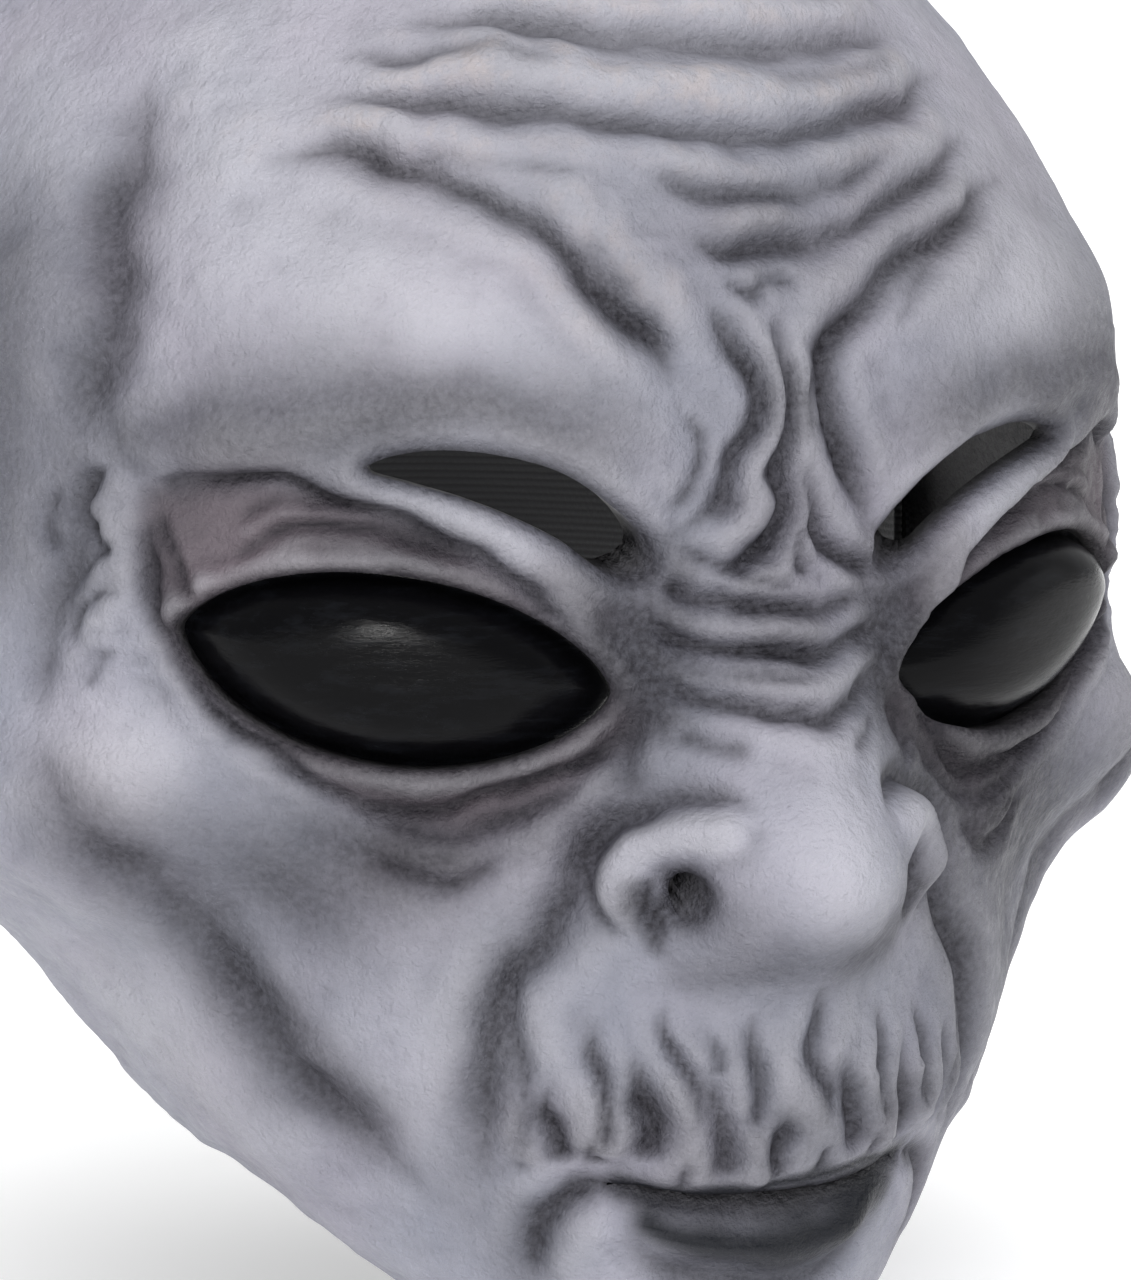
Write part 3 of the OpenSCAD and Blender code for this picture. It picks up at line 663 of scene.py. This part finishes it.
# painted shade over the middle, and over the half of the face that lies in more shade
puffs("charcoal_and_shade", [
    (0, 14, 7, 9, 0.15, 0),
    (0, 4.4, 10, 4.5, 0.25, 0),
    (3, 31, 16, 6, 0.28, 0),
    (4, 42, 24, 9, 0.08, 0),
    (0.5, -15.5, 7, 3, 0.5, 0),
    (6.5, -15, 5, 3.5, 0.4, 0),
    (15, -3.5, 5, 4, 0.5, 0),
    (15, -8, 4, 5, 0.5, 0),
    (16, -14, 4, 12, 0.45, 0),
    (26, -7, 7, 3.5, 0.5, 0),
    (25, -10, 9, 7, 0.7, 0),
    (30, -22, 10, 16, 0.58, 0),
    (34, 8, 12, 16, 0.3, 0),
    (38, 26, 12, 16, 0.25, 0),
    (50, -4, 8, 8, 0.35, 0),
], mirror=False)
# warm dry brushing over the forehead
puffs("warm", [(-8, 44, 26, 9, 0.8, 0), (-12, 30, 7, 5, 0.5, 0), (-26, 41, 9, 4, 0.6, 0)], mirror=False)
# paler paint and painted highlights where the light falls brightest
puffs("pale_and_highlight", [
    (-26, 29, 15, 8, 0.95, 0),
    (-30, 40, 12, 9, 0.7, 0),
    (-50, -5.4, 7, 5, 0.9, 20),
    (-24, -22, 6, 8, 0.35, 0),
    (-46, -34, 12, 6, 0.8, -35),
])
puffs("pale_and_highlight", [(-10, 54, 44, 14, 0.8, 0), (0, -7, 5, 6, 0.6, 0)], mirror=False)

# a dark wash and painted shade settle in the hollows, less so on the forehead, and lighter dry brushing and a
# painted highlight lie on the crests
broad = blurred(height, 5.0)
fine = blurred(height, 1.6)
hollow = np.clip((broad - height) / 2.2, 0, 1)
hollow = np.maximum(hollow, np.clip((fine - height) / 0.7, 0, 1))
hollow *= 1 - 0.35 * forehead
paint["charcoal_and_shade"] = 1 - (1 - paint["charcoal_and_shade"]) * (1 - 0.55 * hollow)
paint["crest"] = np.clip((height - broad) / 1.6, 0, 1)

# ---------------------------------------------------------------------------
# Materials
# ---------------------------------------------------------------------------


class Nodes:
    """Small helper for building one node tree."""

    def __init__(self, name):
        self.material = bpy.data.materials.new(name)
        self.material.use_nodes = True
        self.tree = self.material.node_tree
        self.shader = self.tree.nodes["Principled BSDF"]

    def add(self, kind, **sockets):
        node = self.tree.nodes.new(kind)
        for key, value in sockets.items():
            node.inputs[key].default_value = value
        return node

    def link(self, a, b):
        self.tree.links.new(a, b)

    def set(self, name, item):
        """Puts a number, a colour or a node's output on one of the shader's inputs."""
        if isinstance(item, (int, float, tuple)):
            self.shader.inputs[name].default_value = item
        else:
            self.link(item, self.shader.inputs[name])

    def texture(self, kind, vector=None, **sockets):
        node = self.add("ShaderNodeTex" + kind, **sockets)
        self.link(vector or self.object_place(), node.inputs["Vector"])
        return node

    def value(self, attribute):
        node = self.tree.nodes.new("ShaderNodeAttribute")
        node.attribute_name = attribute
        return node.outputs["Fac"]

    def math(self, operation, a, b):
        node = self.tree.nodes.new("ShaderNodeMath")
        node.operation = operation
        for socket, item in zip(node.inputs, (a, b)):
            if isinstance(item, (int, float)):
                socket.default_value = item
            else:
                self.link(item, socket)
        return node.outputs[0]

    def mix(self, fac, a, b):
        node = self.tree.nodes.new("ShaderNodeMix")
        node.data_type = "RGBA"
        for socket, item in ((node.inputs["Factor"], fac), (node.inputs[6], a), (node.inputs[7], b)):
            if isinstance(item, (int, float)):
                socket.default_value = item
            elif isinstance(item, tuple):
                socket.default_value = item + (1,)
            else:
                self.link(item, socket)
        return node.outputs[2]

    def noise(self, scale, detail=4, rough=0.6, vector=None):
        return self.texture("Noise", vector, Scale=scale, Detail=detail, Roughness=rough).outputs["Fac"]

    def object_place(self):
        if not hasattr(self, "_place"):
            self._place = self.tree.nodes.new("ShaderNodeTexCoord").outputs["Object"]
        return self._place

    def ramp(self, fac, stops):
        node = self.tree.nodes.new("ShaderNodeValToRGB")
        elements = node.color_ramp.elements
        while len(elements) < len(stops):
            elements.new(0.5)
        for element, (place, level) in zip(elements, stops):
            element.position = place
            element.color = (level, level, level, 1)
        self.link(fac, node.inputs["Fac"])
        return node.outputs["Color"]

    def bump(self, height_socket, distance, strength):
        node = self.add("ShaderNodeBump", Strength=strength, Distance=distance)
        self.link(height_socket, node.inputs["Height"])
        return node.outputs["Normal"]


def latex_paint():
    n = Nodes("painted_latex")
    mottle = n.ramp(n.noise(70, 5, 0.65), [(0.3, 0.0), (0.7, 1.0)])
    grain = n.noise(900, 3, 0.6)
    skin_colour = n.mix(mottle, (0.215, 0.222, 0.268), (0.275, 0.278, 0.325))
    # paler paint and painted highlights on the bright places
    skin_colour = n.mix(n.math("MULTIPLY", n.value("pale_and_highlight"), 0.6), skin_colour, (0.43, 0.42, 0.455))
    lilac = n.ramp(n.noise(28, 3, 0.5), [(0.45, 0.0), (0.7, 1.0)])
    skin_colour = n.mix(n.math("MULTIPLY", lilac, 0.25), skin_colour, (0.335, 0.29, 0.355))
    lid_tone = n.mix(n.ramp(n.noise(55, 3, 0.5), [(0.35, 0.0), (0.7, 1.0)]), (0.070, 0.057, 0.066),
                     (0.125, 0.100, 0.115))
    lid_fac = n.math("MULTIPLY", n.value("lid"), 0.95)
    skin_colour = n.mix(lid_fac, skin_colour, lid_tone)
    warm_noise = n.ramp(n.noise(160, 5, 0.7), [(0.45, 0.0), (0.62, 1.0)])
    warm_fac = n.math("MULTIPLY", n.math("MULTIPLY", n.value("warm"), warm_noise), n.value("crest"))
    skin_colour = n.mix(n.math("MULTIPLY", warm_fac, 0.8), skin_colour, (0.46, 0.37, 0.33))
    # painted highlight on the crests
    crest_highlight = n.math("MULTIPLY", n.value("crest"), 0.45)
    skin_colour = n.mix(crest_highlight, skin_colour, (0.46, 0.455, 0.49))
    # charcoal paint and painted shade, speckled by the spray
    spatter = n.ramp(grain, [(0.35, 0.86), (0.65, 1.0)])
    dark = n.math("MULTIPLY", n.math("POWER", n.value("charcoal_and_shade"), 0.92), spatter)
    colour = n.mix(dark, skin_colour, (0.017, 0.016, 0.020))
    colour = n.mix(n.value("lip"), colour, (0.007, 0.008, 0.011))
    inner_tone = n.mix(n.noise(240, 4, 0.6), (0.035, 0.034, 0.036), (0.07, 0.068, 0.07))
    colour = n.mix(n.value("inside"), colour, inner_tone)
    n.set("Base Color", colour)
    rough = n.ramp(n.noise(420, 3, 0.6), [(0.3, 0.38), (0.7, 0.62)])
    rough = n.mix(n.value("lip"), rough, (0.33, 0.33, 0.33))
    n.set("Roughness", rough)
    painted = n.math("MAXIMUM", n.value("charcoal_and_shade"), n.value("lip"))
    n.set("Specular IOR Level", n.mix(painted, (0.42, 0.42, 0.42), (0.16, 0.16, 0.16)))
    pebble = n.texture("Voronoi", Scale=620)
    pebble.feature = "SMOOTH_F1"
    relief = n.math("ADD", n.math("MULTIPLY", pebble.outputs["Distance"], -0.6), n.noise(1300, 3, 0.7))
    relief = n.math("ADD", relief, n.math("MULTIPLY", n.noise(300, 3, 0.6), 1.2))
    n.set("Normal", n.bump(relief, 0.0007, 0.8))
    return n.material


def eye_gloss():
    n = Nodes("eye_gloss")
    streaks = n.add("ShaderNodeMapping", Scale=(0.35, 1.0, 2.4))
    n.link(n.object_place(), streaks.inputs["Vector"])
    scuff = n.noise(210, 6, 0.72, streaks.outputs["Vector"])
    worn = n.ramp(scuff, [(0.5, 0.0), (0.75, 1.0)])
    n.set("Base Color", n.mix(worn, (0.0016, 0.0016, 0.002), (0.005, 0.0055, 0.007)))
    n.set("Roughness", n.ramp(scuff, [(0.35, 0.10), (0.7, 0.28)]))
    n.set("IOR", 1.18)
    n.set("Specular IOR Level", 0.5)
    n.set("Normal", n.bump(scuff, 0.0004, 0.35))
    return n.material


def foam():
    n = Nodes("pad_foam")
    cells = n.texture("Voronoi", Scale=900)
    pores = n.ramp(cells.outputs["Distance"], [(0.1, 0.0), (0.6, 1.0)])
    n.set("Base Color", n.mix(pores, (0.02, 0.02, 0.022), (0.085, 0.085, 0.09)))
    n.set("Roughness", 0.95)
    n.set("Sheen Weight", 0.3)
    n.set("Normal", n.bump(cells.outputs["Distance"], 0.0006, 0.8))
    return n.material


def elastic():
    n = Nodes("woven_elastic")
    weave = n.texture("Wave", Scale=260, Distortion=0.3)
    weave.bands_direction = "Z"
    fuzz = n.noise(2200, 4, 0.7)
    n.set("Base Color", n.mix(weave.outputs["Fac"], (0.004, 0.004, 0.005), (0.014, 0.014, 0.016)))
    n.set("Roughness", 0.8)
    n.set("Sheen Weight", 0.4)
    relief = n.math("ADD", weave.outputs["Fac"], n.math("MULTIPLY", fuzz, 0.5))
    n.set("Normal", n.bump(relief, 0.0003, 0.7))
    return n.material


def nickel():
    n = Nodes("nickel_plate")
    n.set("Metallic", 1.0)
    wear = n.noise(700, 5, 0.7)
    n.set("Base Color", n.mix(wear, (0.50, 0.49, 0.47), (0.68, 0.67, 0.65)))
    n.set("Roughness", n.ramp(n.noise(1400, 4, 0.7), [(0.3, 0.22), (0.7, 0.42)]))
    n.set("Normal", n.bump(wear, 0.00005, 0.4))
    return n.material


def moulded_plastic():
    n = Nodes("moulded_plastic")
    grain = n.noise(1600, 4, 0.6)
    n.set("Base Color", n.mix(grain, (0.014, 0.014, 0.016), (0.03, 0.03, 0.033)))
    n.set("Roughness", n.ramp(grain, [(0.3, 0.38), (0.7, 0.55)]))
    n.set("Normal", n.bump(grain, 0.00008, 0.5))
    return n.material


def reinforcement():
    n = Nodes("woven_patch")
    check = n.texture("Checker", Scale=1600)
    n.set("Base Color", n.mix(check.outputs["Fac"], (0.02, 0.02, 0.022), (0.05, 0.05, 0.054)))
    n.set("Roughness", 0.9)
    n.set("Normal", n.bump(check.outputs["Fac"], 0.0002, 0.5))
    return n.material


LATEX, EYE, FOAM, ELASTIC = latex_paint(), eye_gloss(), foam(), elastic()
NICKEL, PLASTIC, PATCH = nickel(), moulded_plastic(), reinforcement()

# ---------------------------------------------------------------------------
# Mesh helpers
# ---------------------------------------------------------------------------


def new_piece(name, verts_mm, faces, smooth=True):
    mesh = bpy.data.meshes.new(name)
    mesh.from_pydata([tuple(p) for p in np.asarray(verts_mm) * MM], [], [tuple(f) for f in faces])
    mesh.validate()
    mesh.update()
    if smooth:
        mesh.shade_smooth()
    piece = bpy.data.objects.new(name, mesh)
    bpy.context.scene.collection.objects.link(piece)
    return piece


def adopt(piece, node, body):
    """Puts a piece in place of a CAD node, on its body."""
    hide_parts(node)
    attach(piece, body)


def point_values(mesh, name, values):
    layer = mesh.attributes.new(name, "FLOAT", "POINT")
    layer.data.foreach_set("value", np.asarray(values, np.float32))


def sample(field, u, v):
    """Bilinear value of a map field at places."""
    x = np.clip((u - u_line[0]) / STEP, 0, len(u_line) - 1.001)
    y = np.clip((v - v_line[0]) / STEP, 0, len(v_line) - 1.001)
    i, j = x.astype(int), y.astype(int)
    fx, fy = x - i, y - j
    return ((field[j, i] * (1 - fx) + field[j, i + 1] * fx) * (1 - fy)
            + (field[j + 1, i] * (1 - fx) + field[j + 1, i + 1] * fx) * fy)


def form_normal(u, v):
    e = 0.6
    du = on_skin(map_ray(u + e, v)) - on_skin(map_ray(u - e, v))
    dv = on_skin(map_ray(u, v + e)) - on_skin(map_ray(u, v - e))
    n = np.cross(du, dv)
    n /= np.linalg.norm(n, axis=-1, keepdims=True)
    out = map_ray(u, v)
    return n * np.sign((n * out).sum(-1))[..., None]


def grid_cells(keep):
    """The kept cells of a grid, and which of its points are used and lie on a border."""
    rows, cols = keep.shape[0] + 1, keep.shape[1] + 1
    index = np.arange(rows * cols).reshape(rows, cols)
    quads = np.stack([index[:-1, :-1], index[:-1, 1:], index[1:, 1:], index[1:, :-1]], -1)[keep]
    touched = np.bincount(quads.ravel(), minlength=rows * cols)
    return quads, touched > 0, (touched > 0) & (touched < 4)


def cell_middles(field):
    return (field[:-1, :-1] + field[1:, :-1] + field[:-1, 1:] + field[1:, 1:]) / 4


def closed_sheet(name, quads, outer, inner, material):
    """A sheet with thickness: two layers of the same cells, joined along every border."""
    count = len(outer)
    sides = set()
    for k in range(4):
        sides.update(zip(quads[:, k].tolist(), quads[:, (k + 1) % 4].tolist()))
    faces = [tuple(q) for q in quads] + [tuple(q[::-1] + count) for q in quads]
    faces += [(b, a, a + count, b + count) for a, b in sorted(sides) if (b, a) not in sides]
    sheet = new_piece(name, np.concatenate([outer, inner]), faces)
    sheet.data.materials.append(material)
    return sheet


# ---------------------------------------------------------------------------
# The latex skin
# ---------------------------------------------------------------------------

# the inside skips folds narrower than twice this, in millimetres
FOLD_REACH = 3.0
# degrees to the side at which the inside starts to keep clear of the strap, and over how many
STRAP_FROM_U, STRAP_FADE_U = 60, 8


def build_skin():
    gap = np.minimum.reduce([eye_gap, slit_gap, nostril_gap, mouth_gap, trim_gap, rivet_gap])
    quads, used, border = grid_cells(cell_middles(gap) > 0)

    # points of the border move onto the edge of the opening
    u, v = U.ravel().copy(), V.ravel().copy()
    gv, gu = np.gradient(gap, STEP)
    for _ in range(5):
        g = sample(gap, u[border], v[border])
        a, b = sample(gu, u[border], v[border]), sample(gv, u[border], v[border])
        scale = g / np.maximum(a * a + b * b, 0.3)
        limit = 0.5 * STEP
        u[border] -= np.clip(scale * a, -limit, limit)
        v[border] -= np.clip(scale * b, -limit, limit)

    quads = (np.cumsum(used) - 1)[quads]
    u, v = u[used], v[used]

    h = sample(height, u, v)
    su = u + sample(slide[..., 0], u, v)
    sv = v + sample(slide[..., 1], u, v)
    outer = on_skin(map_ray(su, sv)) + h[:, None] * form_normal(su, sv)

    floor_h = height
    for _ in range(int(FOLD_REACH / PER_DEG / STEP)):
        p = np.pad(floor_h, 1, mode="edge")
        floor_h = np.minimum.reduce([p[1:-1, 1:-1], p[:-2, 1:-1], p[2:, 1:-1], p[1:-1, :-2], p[1:-1, 2:]])
    floor_h = blurred(floor_h, 2.5)
    # the mouth leads upwards, and the nostrils upwards and outwards
    near_mouth = np.exp(-np.abs(sample(mouth_gap, u, v)) / 3)
    near_nostril = np.exp(-np.abs(sample(nostril_gap, u, v)) / 2.5)
    near_slit = np.exp(-np.abs(sample(slit_gap, u, v)) / 3 - ((np.abs(u) - 10) / 3.5) ** 2)
    iu = u + (3.0 * near_nostril + 2.0 * near_slit) * np.sign(u)
    iv = v + 1.9 * near_mouth + 3.4 * near_nostril + 1.8 * near_slit
    depth = np.minimum(sample(floor_h, u, v), h) - SKIN_T
    # at the sides the inside keeps to the plain form, because the strap swings past it
    beside_strap = np.clip((np.abs(u) - STRAP_FROM_U) / STRAP_FADE_U, 0, 1)
    depth += beside_strap * (np.maximum(depth, 0.3 - SKIN_T) - depth)
    inner = on_skin(map_ray(iu, iv)) + depth[:, None] * form_normal(iu, iv)

    for layer, level in ((outer, BOSS_OUT), (inner, BOSS_IN)):
        reach = np.hypot(layer[:, 1] - PIVOT_Y, layer[:, 2] - PIVOT_Z)
        flat = np.clip((BOSS_R + 1 - reach) / 2, 0, 1) * (np.abs(layer[:, 0]) > SIDE_X)
        flat = flat * flat * (3 - 2 * flat)
        layer[:, 0] += flat * (np.sign(layer[:, 0]) * level - layer[:, 0])

    skin = closed_sheet("latex_skin_sculpted", quads, outer, inner, LATEX)
    mesh = skin.data
    for name, layer in paint.items():
        values = np.clip(sample(layer, u, v), 0, 1)
        point_values(mesh, name, np.concatenate([values, values]))
    point_values(mesh, "inside", np.repeat([0, 1], len(u)))
    return skin


skin = build_skin()
adopt(skin, "latex_skin", "mask")

# ---------------------------------------------------------------------------
# Eye domes and foam pads: closed shells between two stacks of rings
# ---------------------------------------------------------------------------


def polar_grid(rings, spokes):
    """Share of the way out and the angle round, for each point of the rings."""
    s = np.linspace(0, 1, rings)[:, None] * np.ones(spokes)
    q = np.linspace(0, 2 * math.pi, spokes, endpoint=False)[None, :] * np.ones((rings, 1))
    return s, q


def lens_piece(name, top, under, sign, material):
    """A closed piece from two stacks of rings, each of which starts with one middle point."""
    rings, spokes = top.shape[:2]
    points = [top[0, 0], under[0, 0]]
    points += list(top[1:].reshape(-1, 3)) + list(under[1:].reshape(-1, 3))
    half = (rings - 1) * spokes

    def at(i, j, side):
        return 2 + side * half + (i - 1) * spokes + j % spokes

    faces = []
    for j in range(spokes):
        faces.append((0, at(1, j, 0), at(1, j + 1, 0)))
        faces.append((1, at(1, j + 1, 1), at(1, j, 1)))
        for i in range(1, rings - 1):
            faces.append((at(i, j, 0), at(i + 1, j, 0), at(i + 1, j + 1, 0), at(i, j + 1, 0)))
            faces.append((at(i, j, 1), at(i, j + 1, 1), at(i + 1, j + 1, 1), at(i + 1, j, 1)))
        last = rings - 1
        faces.append((at(last, j, 0), at(last, j, 1), at(last, j + 1, 1), at(last, j + 1, 0)))
    points = np.array(points)
    if sign < 0:
        points[:, 0] *= -1
        faces = [f[::-1] for f in faces]
    piece = new_piece(name, points, faces)
    piece.data.materials.append(material)
    return piece


def eye_rays(q, s):
    """Directions of outline points of the right eye at angle q, scaled by s."""
    mid = ray(EYE_AZ, EYE_EL)
    right, up = tangent_axes(mid)
    reach = float(skin_radius(np.array(EYE_AZ), np.array(EYE_EL)))
    a = EYE_HALF_W * s * np.cos(q)
    b = np.where(np.sin(q) > 0, EYE_UPPER_H, EYE_LOWER_H) * s * np.sin(q) * np.abs(np.sin(q)) ** 0.35
    c, t = math.cos(EYE_TILT * RAD), math.sin(EYE_TILT * RAD)
    x, y = (a * c - b * t) / reach, (a * t + b * c) / reach
    return mid + x[..., None] * right + y[..., None] * up


def build_eye(sign, name):
    s, q = polar_grid(34, 120)
    s = LENS_FLANGE * s
    rise = (LENS_BULGE + SKIN_T) * np.sin(math.pi / 2 * (1 - (s / LENS_FOOT) ** 2))
    rise = np.where(s > LENS_FOOT, 0, rise)
    d = eye_rays(q, s)
    top = on_skin(d, rise - SKIN_T - GLUE_GAP)
    under = on_skin(d, rise - SKIN_T - GLUE_GAP - LENS_T)
    return lens_piece(name, top, under, sign, EYE)


for sign, node in ((1, "eye_dome_right"), (-1, "eye_dome_left")):
    dome = build_eye(sign, node + "_gloss")
    adopt(dome, node, "mask")


PAD_T = 9
GLUE_BED = 2.2

# azimuth, elevation, half width, half height, space for the glue, side
PADS = {
    "brow_pad": (0, 36, 46, 12, GLUE_GAP, 1),
    "crown_pad": (0, 72, 30, 24, GLUE_GAP, 1),
    "temple_pad_right": (70, 28, 16, 22, GLUE_GAP, 1),
    "temple_pad_left": (70, 28, 16, 22, GLUE_GAP, -1),
    "cheek_pad_right": (60, -17, 15, 13, GLUE_BED, 1),
    "cheek_pad_left": (60, -17, 15, 13, GLUE_BED, -1),
    "chin_pad": (0, -48, 22, 9, GLUE_BED, 1),
}


def build_pad(name, az, el, half_w, half_h, gap, sign):
    s, q = polar_grid(22, 96)
    mid = ray(az, el)
    right, up = tangent_axes(mid)
    reach = float(skin_radius(np.array(az), np.array(el)))
    a = half_w * s * np.sign(np.cos(q)) * np.abs(np.cos(q)) ** 0.7 / reach
    b = half_h * s * np.sign(np.sin(q)) * np.abs(np.sin(q)) ** 0.7 / reach
    d = mid + a[..., None] * right + b[..., None] * up
    top = on_skin(d, -SKIN_T - gap - 0.8 * s ** 8)
    crown = np.sqrt(np.clip(1 - s ** 5, 0, 1)) * (1 - 0.25 * s ** 2)
    under = on_skin(d, -SKIN_T - gap - 0.4 - (PAD_T - 0.4) * crown)
    return lens_piece(name + "_foam", top, under, sign, FOAM)


for name, values in PADS.items():
    pad = build_pad(name, *values)
    adopt(pad, name, "mask")

# ---------------------------------------------------------------------------
# CAD nodes that stay, with their finishes
# ---------------------------------------------------------------------------


def finish_node(name, material):
    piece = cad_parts[name]
    piece.data.materials.clear()
    piece.data.materials.append(material)


for side in ("right", "left"):
    finish_node("rivet_" + side, NICKEL)
    finish_node("eyelet_" + side, NICKEL)
    finish_node("washer_" + side, NICKEL)
    finish_node("anchor_patch_" + side, PATCH)

# ---------------------------------------------------------------------------
# Elastic strap: a ribbed band along the CAD strap's path, with its two rivet holes
# ---------------------------------------------------------------------------

STRAP_W, STRAP_T = 25, 1.5
BACK_HALF, BACK_Y = 32, 108
HOLE_R, FLANGE_R = 2.3, 4.6
CORD_PITCH, PICK_PITCH, CORD_DEPTH = 1.25, 1.4, 0.16

strap_low, strap_high = np.array(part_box("strap_band")) / MM
STRAP_X = strap_high[0] - STRAP_T / 2


def strap_route(step):
    """Middle line of the band from above, from the right tab round the back to the left one."""
    tab_back = PIVOT_Y + 8
    run = [(STRAP_X, y) for y in np.arange(strap_low[1], tab_back, step)]
    q = np.linspace(0, math.pi / 2, int(110 / step))
    bend_x = BACK_HALF + (STRAP_X - BACK_HALF) * np.cos(q)
    bend_y = tab_back + (BACK_Y - tab_back) * np.sin(q)
    run += list(zip(bend_x, bend_y))
    run += [(x, BACK_Y) for x in np.arange(BACK_HALF - step, 0, -step)]
    return np.array(run + [(0, BACK_Y)] + [(-x, y) for x, y in run[::-1]])


def build_strap():
    route = strap_route(0.35)
    lengths = np.concatenate([[0], np.cumsum(np.hypot(*np.diff(route, axis=0).T))])
    ahead = np.gradient(route, axis=0)
    ahead /= np.linalg.norm(ahead, axis=1, keepdims=True)
    outwards = np.stack([ahead[:, 1], -ahead[:, 0]], -1)
    levels = np.linspace(-STRAP_W / 2, STRAP_W / 2, 91)
    across_z, along = np.meshgrid(levels, lengths)
    # cords run along the band, and the weft pulls them in at every pick
    cords = np.abs(np.sin(math.pi * across_z / CORD_PITCH)) ** 0.7
    picks = 0.8 + 0.2 * np.cos(2 * math.pi * along / PICK_PITCH + math.pi * np.round(across_z / CORD_PITCH))
    edge = np.clip((STRAP_W / 2 - np.abs(across_z)) / 0.7, 0, 1)
    half_t = STRAP_T / 2 * (0.35 + 0.65 * np.sqrt(edge * (2 - edge))) - CORD_DEPTH * (1 - cords * picks)
    still = 0 * across_z
    centre = np.stack([route[:, None, 0] + still, route[:, None, 1] + still, PIVOT_Z + across_z], -1)
    normal = np.concatenate([outwards, np.zeros((len(route), 1))], 1)[:, None, :]

    # cells over a rivet are left out, and their rims drawn to the edge of the hole
    reach = np.hypot(centre[..., 1] - PIVOT_Y, centre[..., 2] - PIVOT_Z)
    quads, used, border = grid_cells(cell_middles(reach) > HOLE_R)
    rim = border.reshape(reach.shape) & (reach < HOLE_R + 1)
    pull = np.where(rim, HOLE_R / np.maximum(reach, 0.1), 1)
    centre[..., 1] = PIVOT_Y + (centre[..., 1] - PIVOT_Y) * pull
    centre[..., 2] = PIVOT_Z + (centre[..., 2] - PIVOT_Z) * pull
    # the eyelet's flanges press the band flat
    half_t = np.where(reach < FLANGE_R, np.minimum(half_t, STRAP_T / 2 - 0.1), half_t)

    outer = (centre + half_t[..., None] * normal).reshape(-1, 3)[used]
    inner = (centre - half_t[..., None] * normal).reshape(-1, 3)[used]
    return closed_sheet("strap_elastic", (np.cumsum(used) - 1)[quads], outer, inner, ELASTIC)


strap = build_strap()
adopt(strap, "strap_band", "strap")


MOULD_EDGE_R = 0.45


def build_slider():
    """The CAD slider with every edge rounded as a mould leaves it."""
    shape = bmesh.new()
    shape.from_mesh(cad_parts["strap_slider"].data)
    bmesh.ops.remove_doubles(shape, verts=shape.verts, dist=1e-6)
    bmesh.ops.dissolve_limit(shape, angle_limit=2 * RAD, verts=shape.verts, edges=shape.edges)
    sharp = [e for e in shape.edges if e.calc_face_angle(0) > 30 * RAD]
    bmesh.ops.bevel(shape, geom=sharp, offset=MOULD_EDGE_R * MM, segments=3, profile=0.5, affect="EDGES")
    mesh = bpy.data.meshes.new("slider_moulded")
    shape.to_mesh(mesh)
    shape.free()
    mesh.shade_smooth()
    slider = bpy.data.objects.new("slider_moulded", mesh)
    bpy.context.scene.collection.objects.link(slider)
    slider.data.materials.append(PLASTIC)
    return slider


slider = build_slider()
adopt(slider, "strap_slider", "slider")

# ---------------------------------------------------------------------------
# Floor, light and camera
# ---------------------------------------------------------------------------


def pale_floor():
    n = Nodes("pale_floor")
    n.set("Base Color", n.mix(n.noise(3, 2, 0.5), (0.93, 0.93, 0.93), (0.916, 0.916, 0.916)))
    n.set("Roughness", 0.95)
    n.set("Emission Color", (1, 1, 1, 1))
    n.set("Emission Strength", 0.28)
    return n.material


FLOOR_HALF = 60000
low = CAD_BOX[0][2] / MM
corners = [(x * FLOOR_HALF, y * FLOOR_HALF, low) for x, y in ((-1, -1), (1, -1), (1, 1), (-1, 1))]
floor = new_piece("floor", corners, [(0, 1, 2, 3)], smooth=False)
floor.data.materials.append(pale_floor())


def facing(way):
    """Rotation that turns a lamp or camera to look along a direction."""
    return Vector(way).to_track_quat("-Z", "Y").to_euler()


def area_light(name, place, aim, size, power, colour=(1, 1, 1)):
    data = bpy.data.lights.new(name, "AREA")
    data.shape = "RECTANGLE"
    data.size, data.size_y = size
    data.energy = power
    data.color = colour
    lamp = bpy.data.objects.new(name, data)
    bpy.context.scene.collection.objects.link(lamp)
    lamp.location = place
    lamp.rotation_euler = facing(np.asarray(aim, float) - np.asarray(place, float))


area_light("key", (-0.63, -1.29, 0.05), (0, -0.05, 0.0), (0.17, 0.10), 7.5, (1.0, 0.99, 0.98))
area_light("rim", (1.3, -0.5, 0.5), (0, 0, 0), (0.8, 0.8), 1.5, (0.95, 0.97, 1.0))

sun_data = bpy.data.lights.new("overhead", "SUN")
sun_data.energy = 2.7
sun_data.angle = 70 * RAD
sun = bpy.data.objects.new("overhead", sun_data)
bpy.context.scene.collection.objects.link(sun)
sun.rotation_euler = facing((0.25, 0.55, -1.0))
# its sheen would veil the dark paint
sun.visible_glossy = False

world = bpy.data.worlds.new("studio")
bpy.context.scene.world = world
world.use_nodes = True
background = world.node_tree.nodes["Background"]
background.inputs["Color"].default_value = (0.98, 0.985, 1.0, 1)
background.inputs["Strength"].default_value = 0.48

CAMERA_AZ, CAMERA_EL, CAMERA_DISTANCE = -28, 7, 1.0
camera_data = bpy.data.cameras.new("camera")
camera = bpy.data.objects.new("camera", camera_data)
bpy.context.scene.collection.objects.link(camera)
away = ray(CAMERA_AZ, CAMERA_EL)
# the middle of the view is right of and a little below the head centre
AIM_RIGHT, AIM_UP = 0.0227, -0.0043
view_right = np.array([math.cos(CAMERA_AZ * RAD), math.sin(CAMERA_AZ * RAD), 0])
view_up = np.cross(view_right, -away)
aim = AIM_RIGHT * view_right + AIM_UP * view_up
camera.location = aim + CAMERA_DISTANCE * away
camera.rotation_euler = facing(-away)
camera_data.sensor_fit = "VERTICAL"
camera_data.sensor_height = 24
FRAME_HEIGHT = 0.1969
camera_data.lens = camera_data.sensor_height * CAMERA_DISTANCE / FRAME_HEIGHT
camera_data.clip_start, camera_data.clip_end = 0.01, 300
bpy.context.scene.camera = camera
bpy.context.scene.view_settings.view_transform = "Standard"
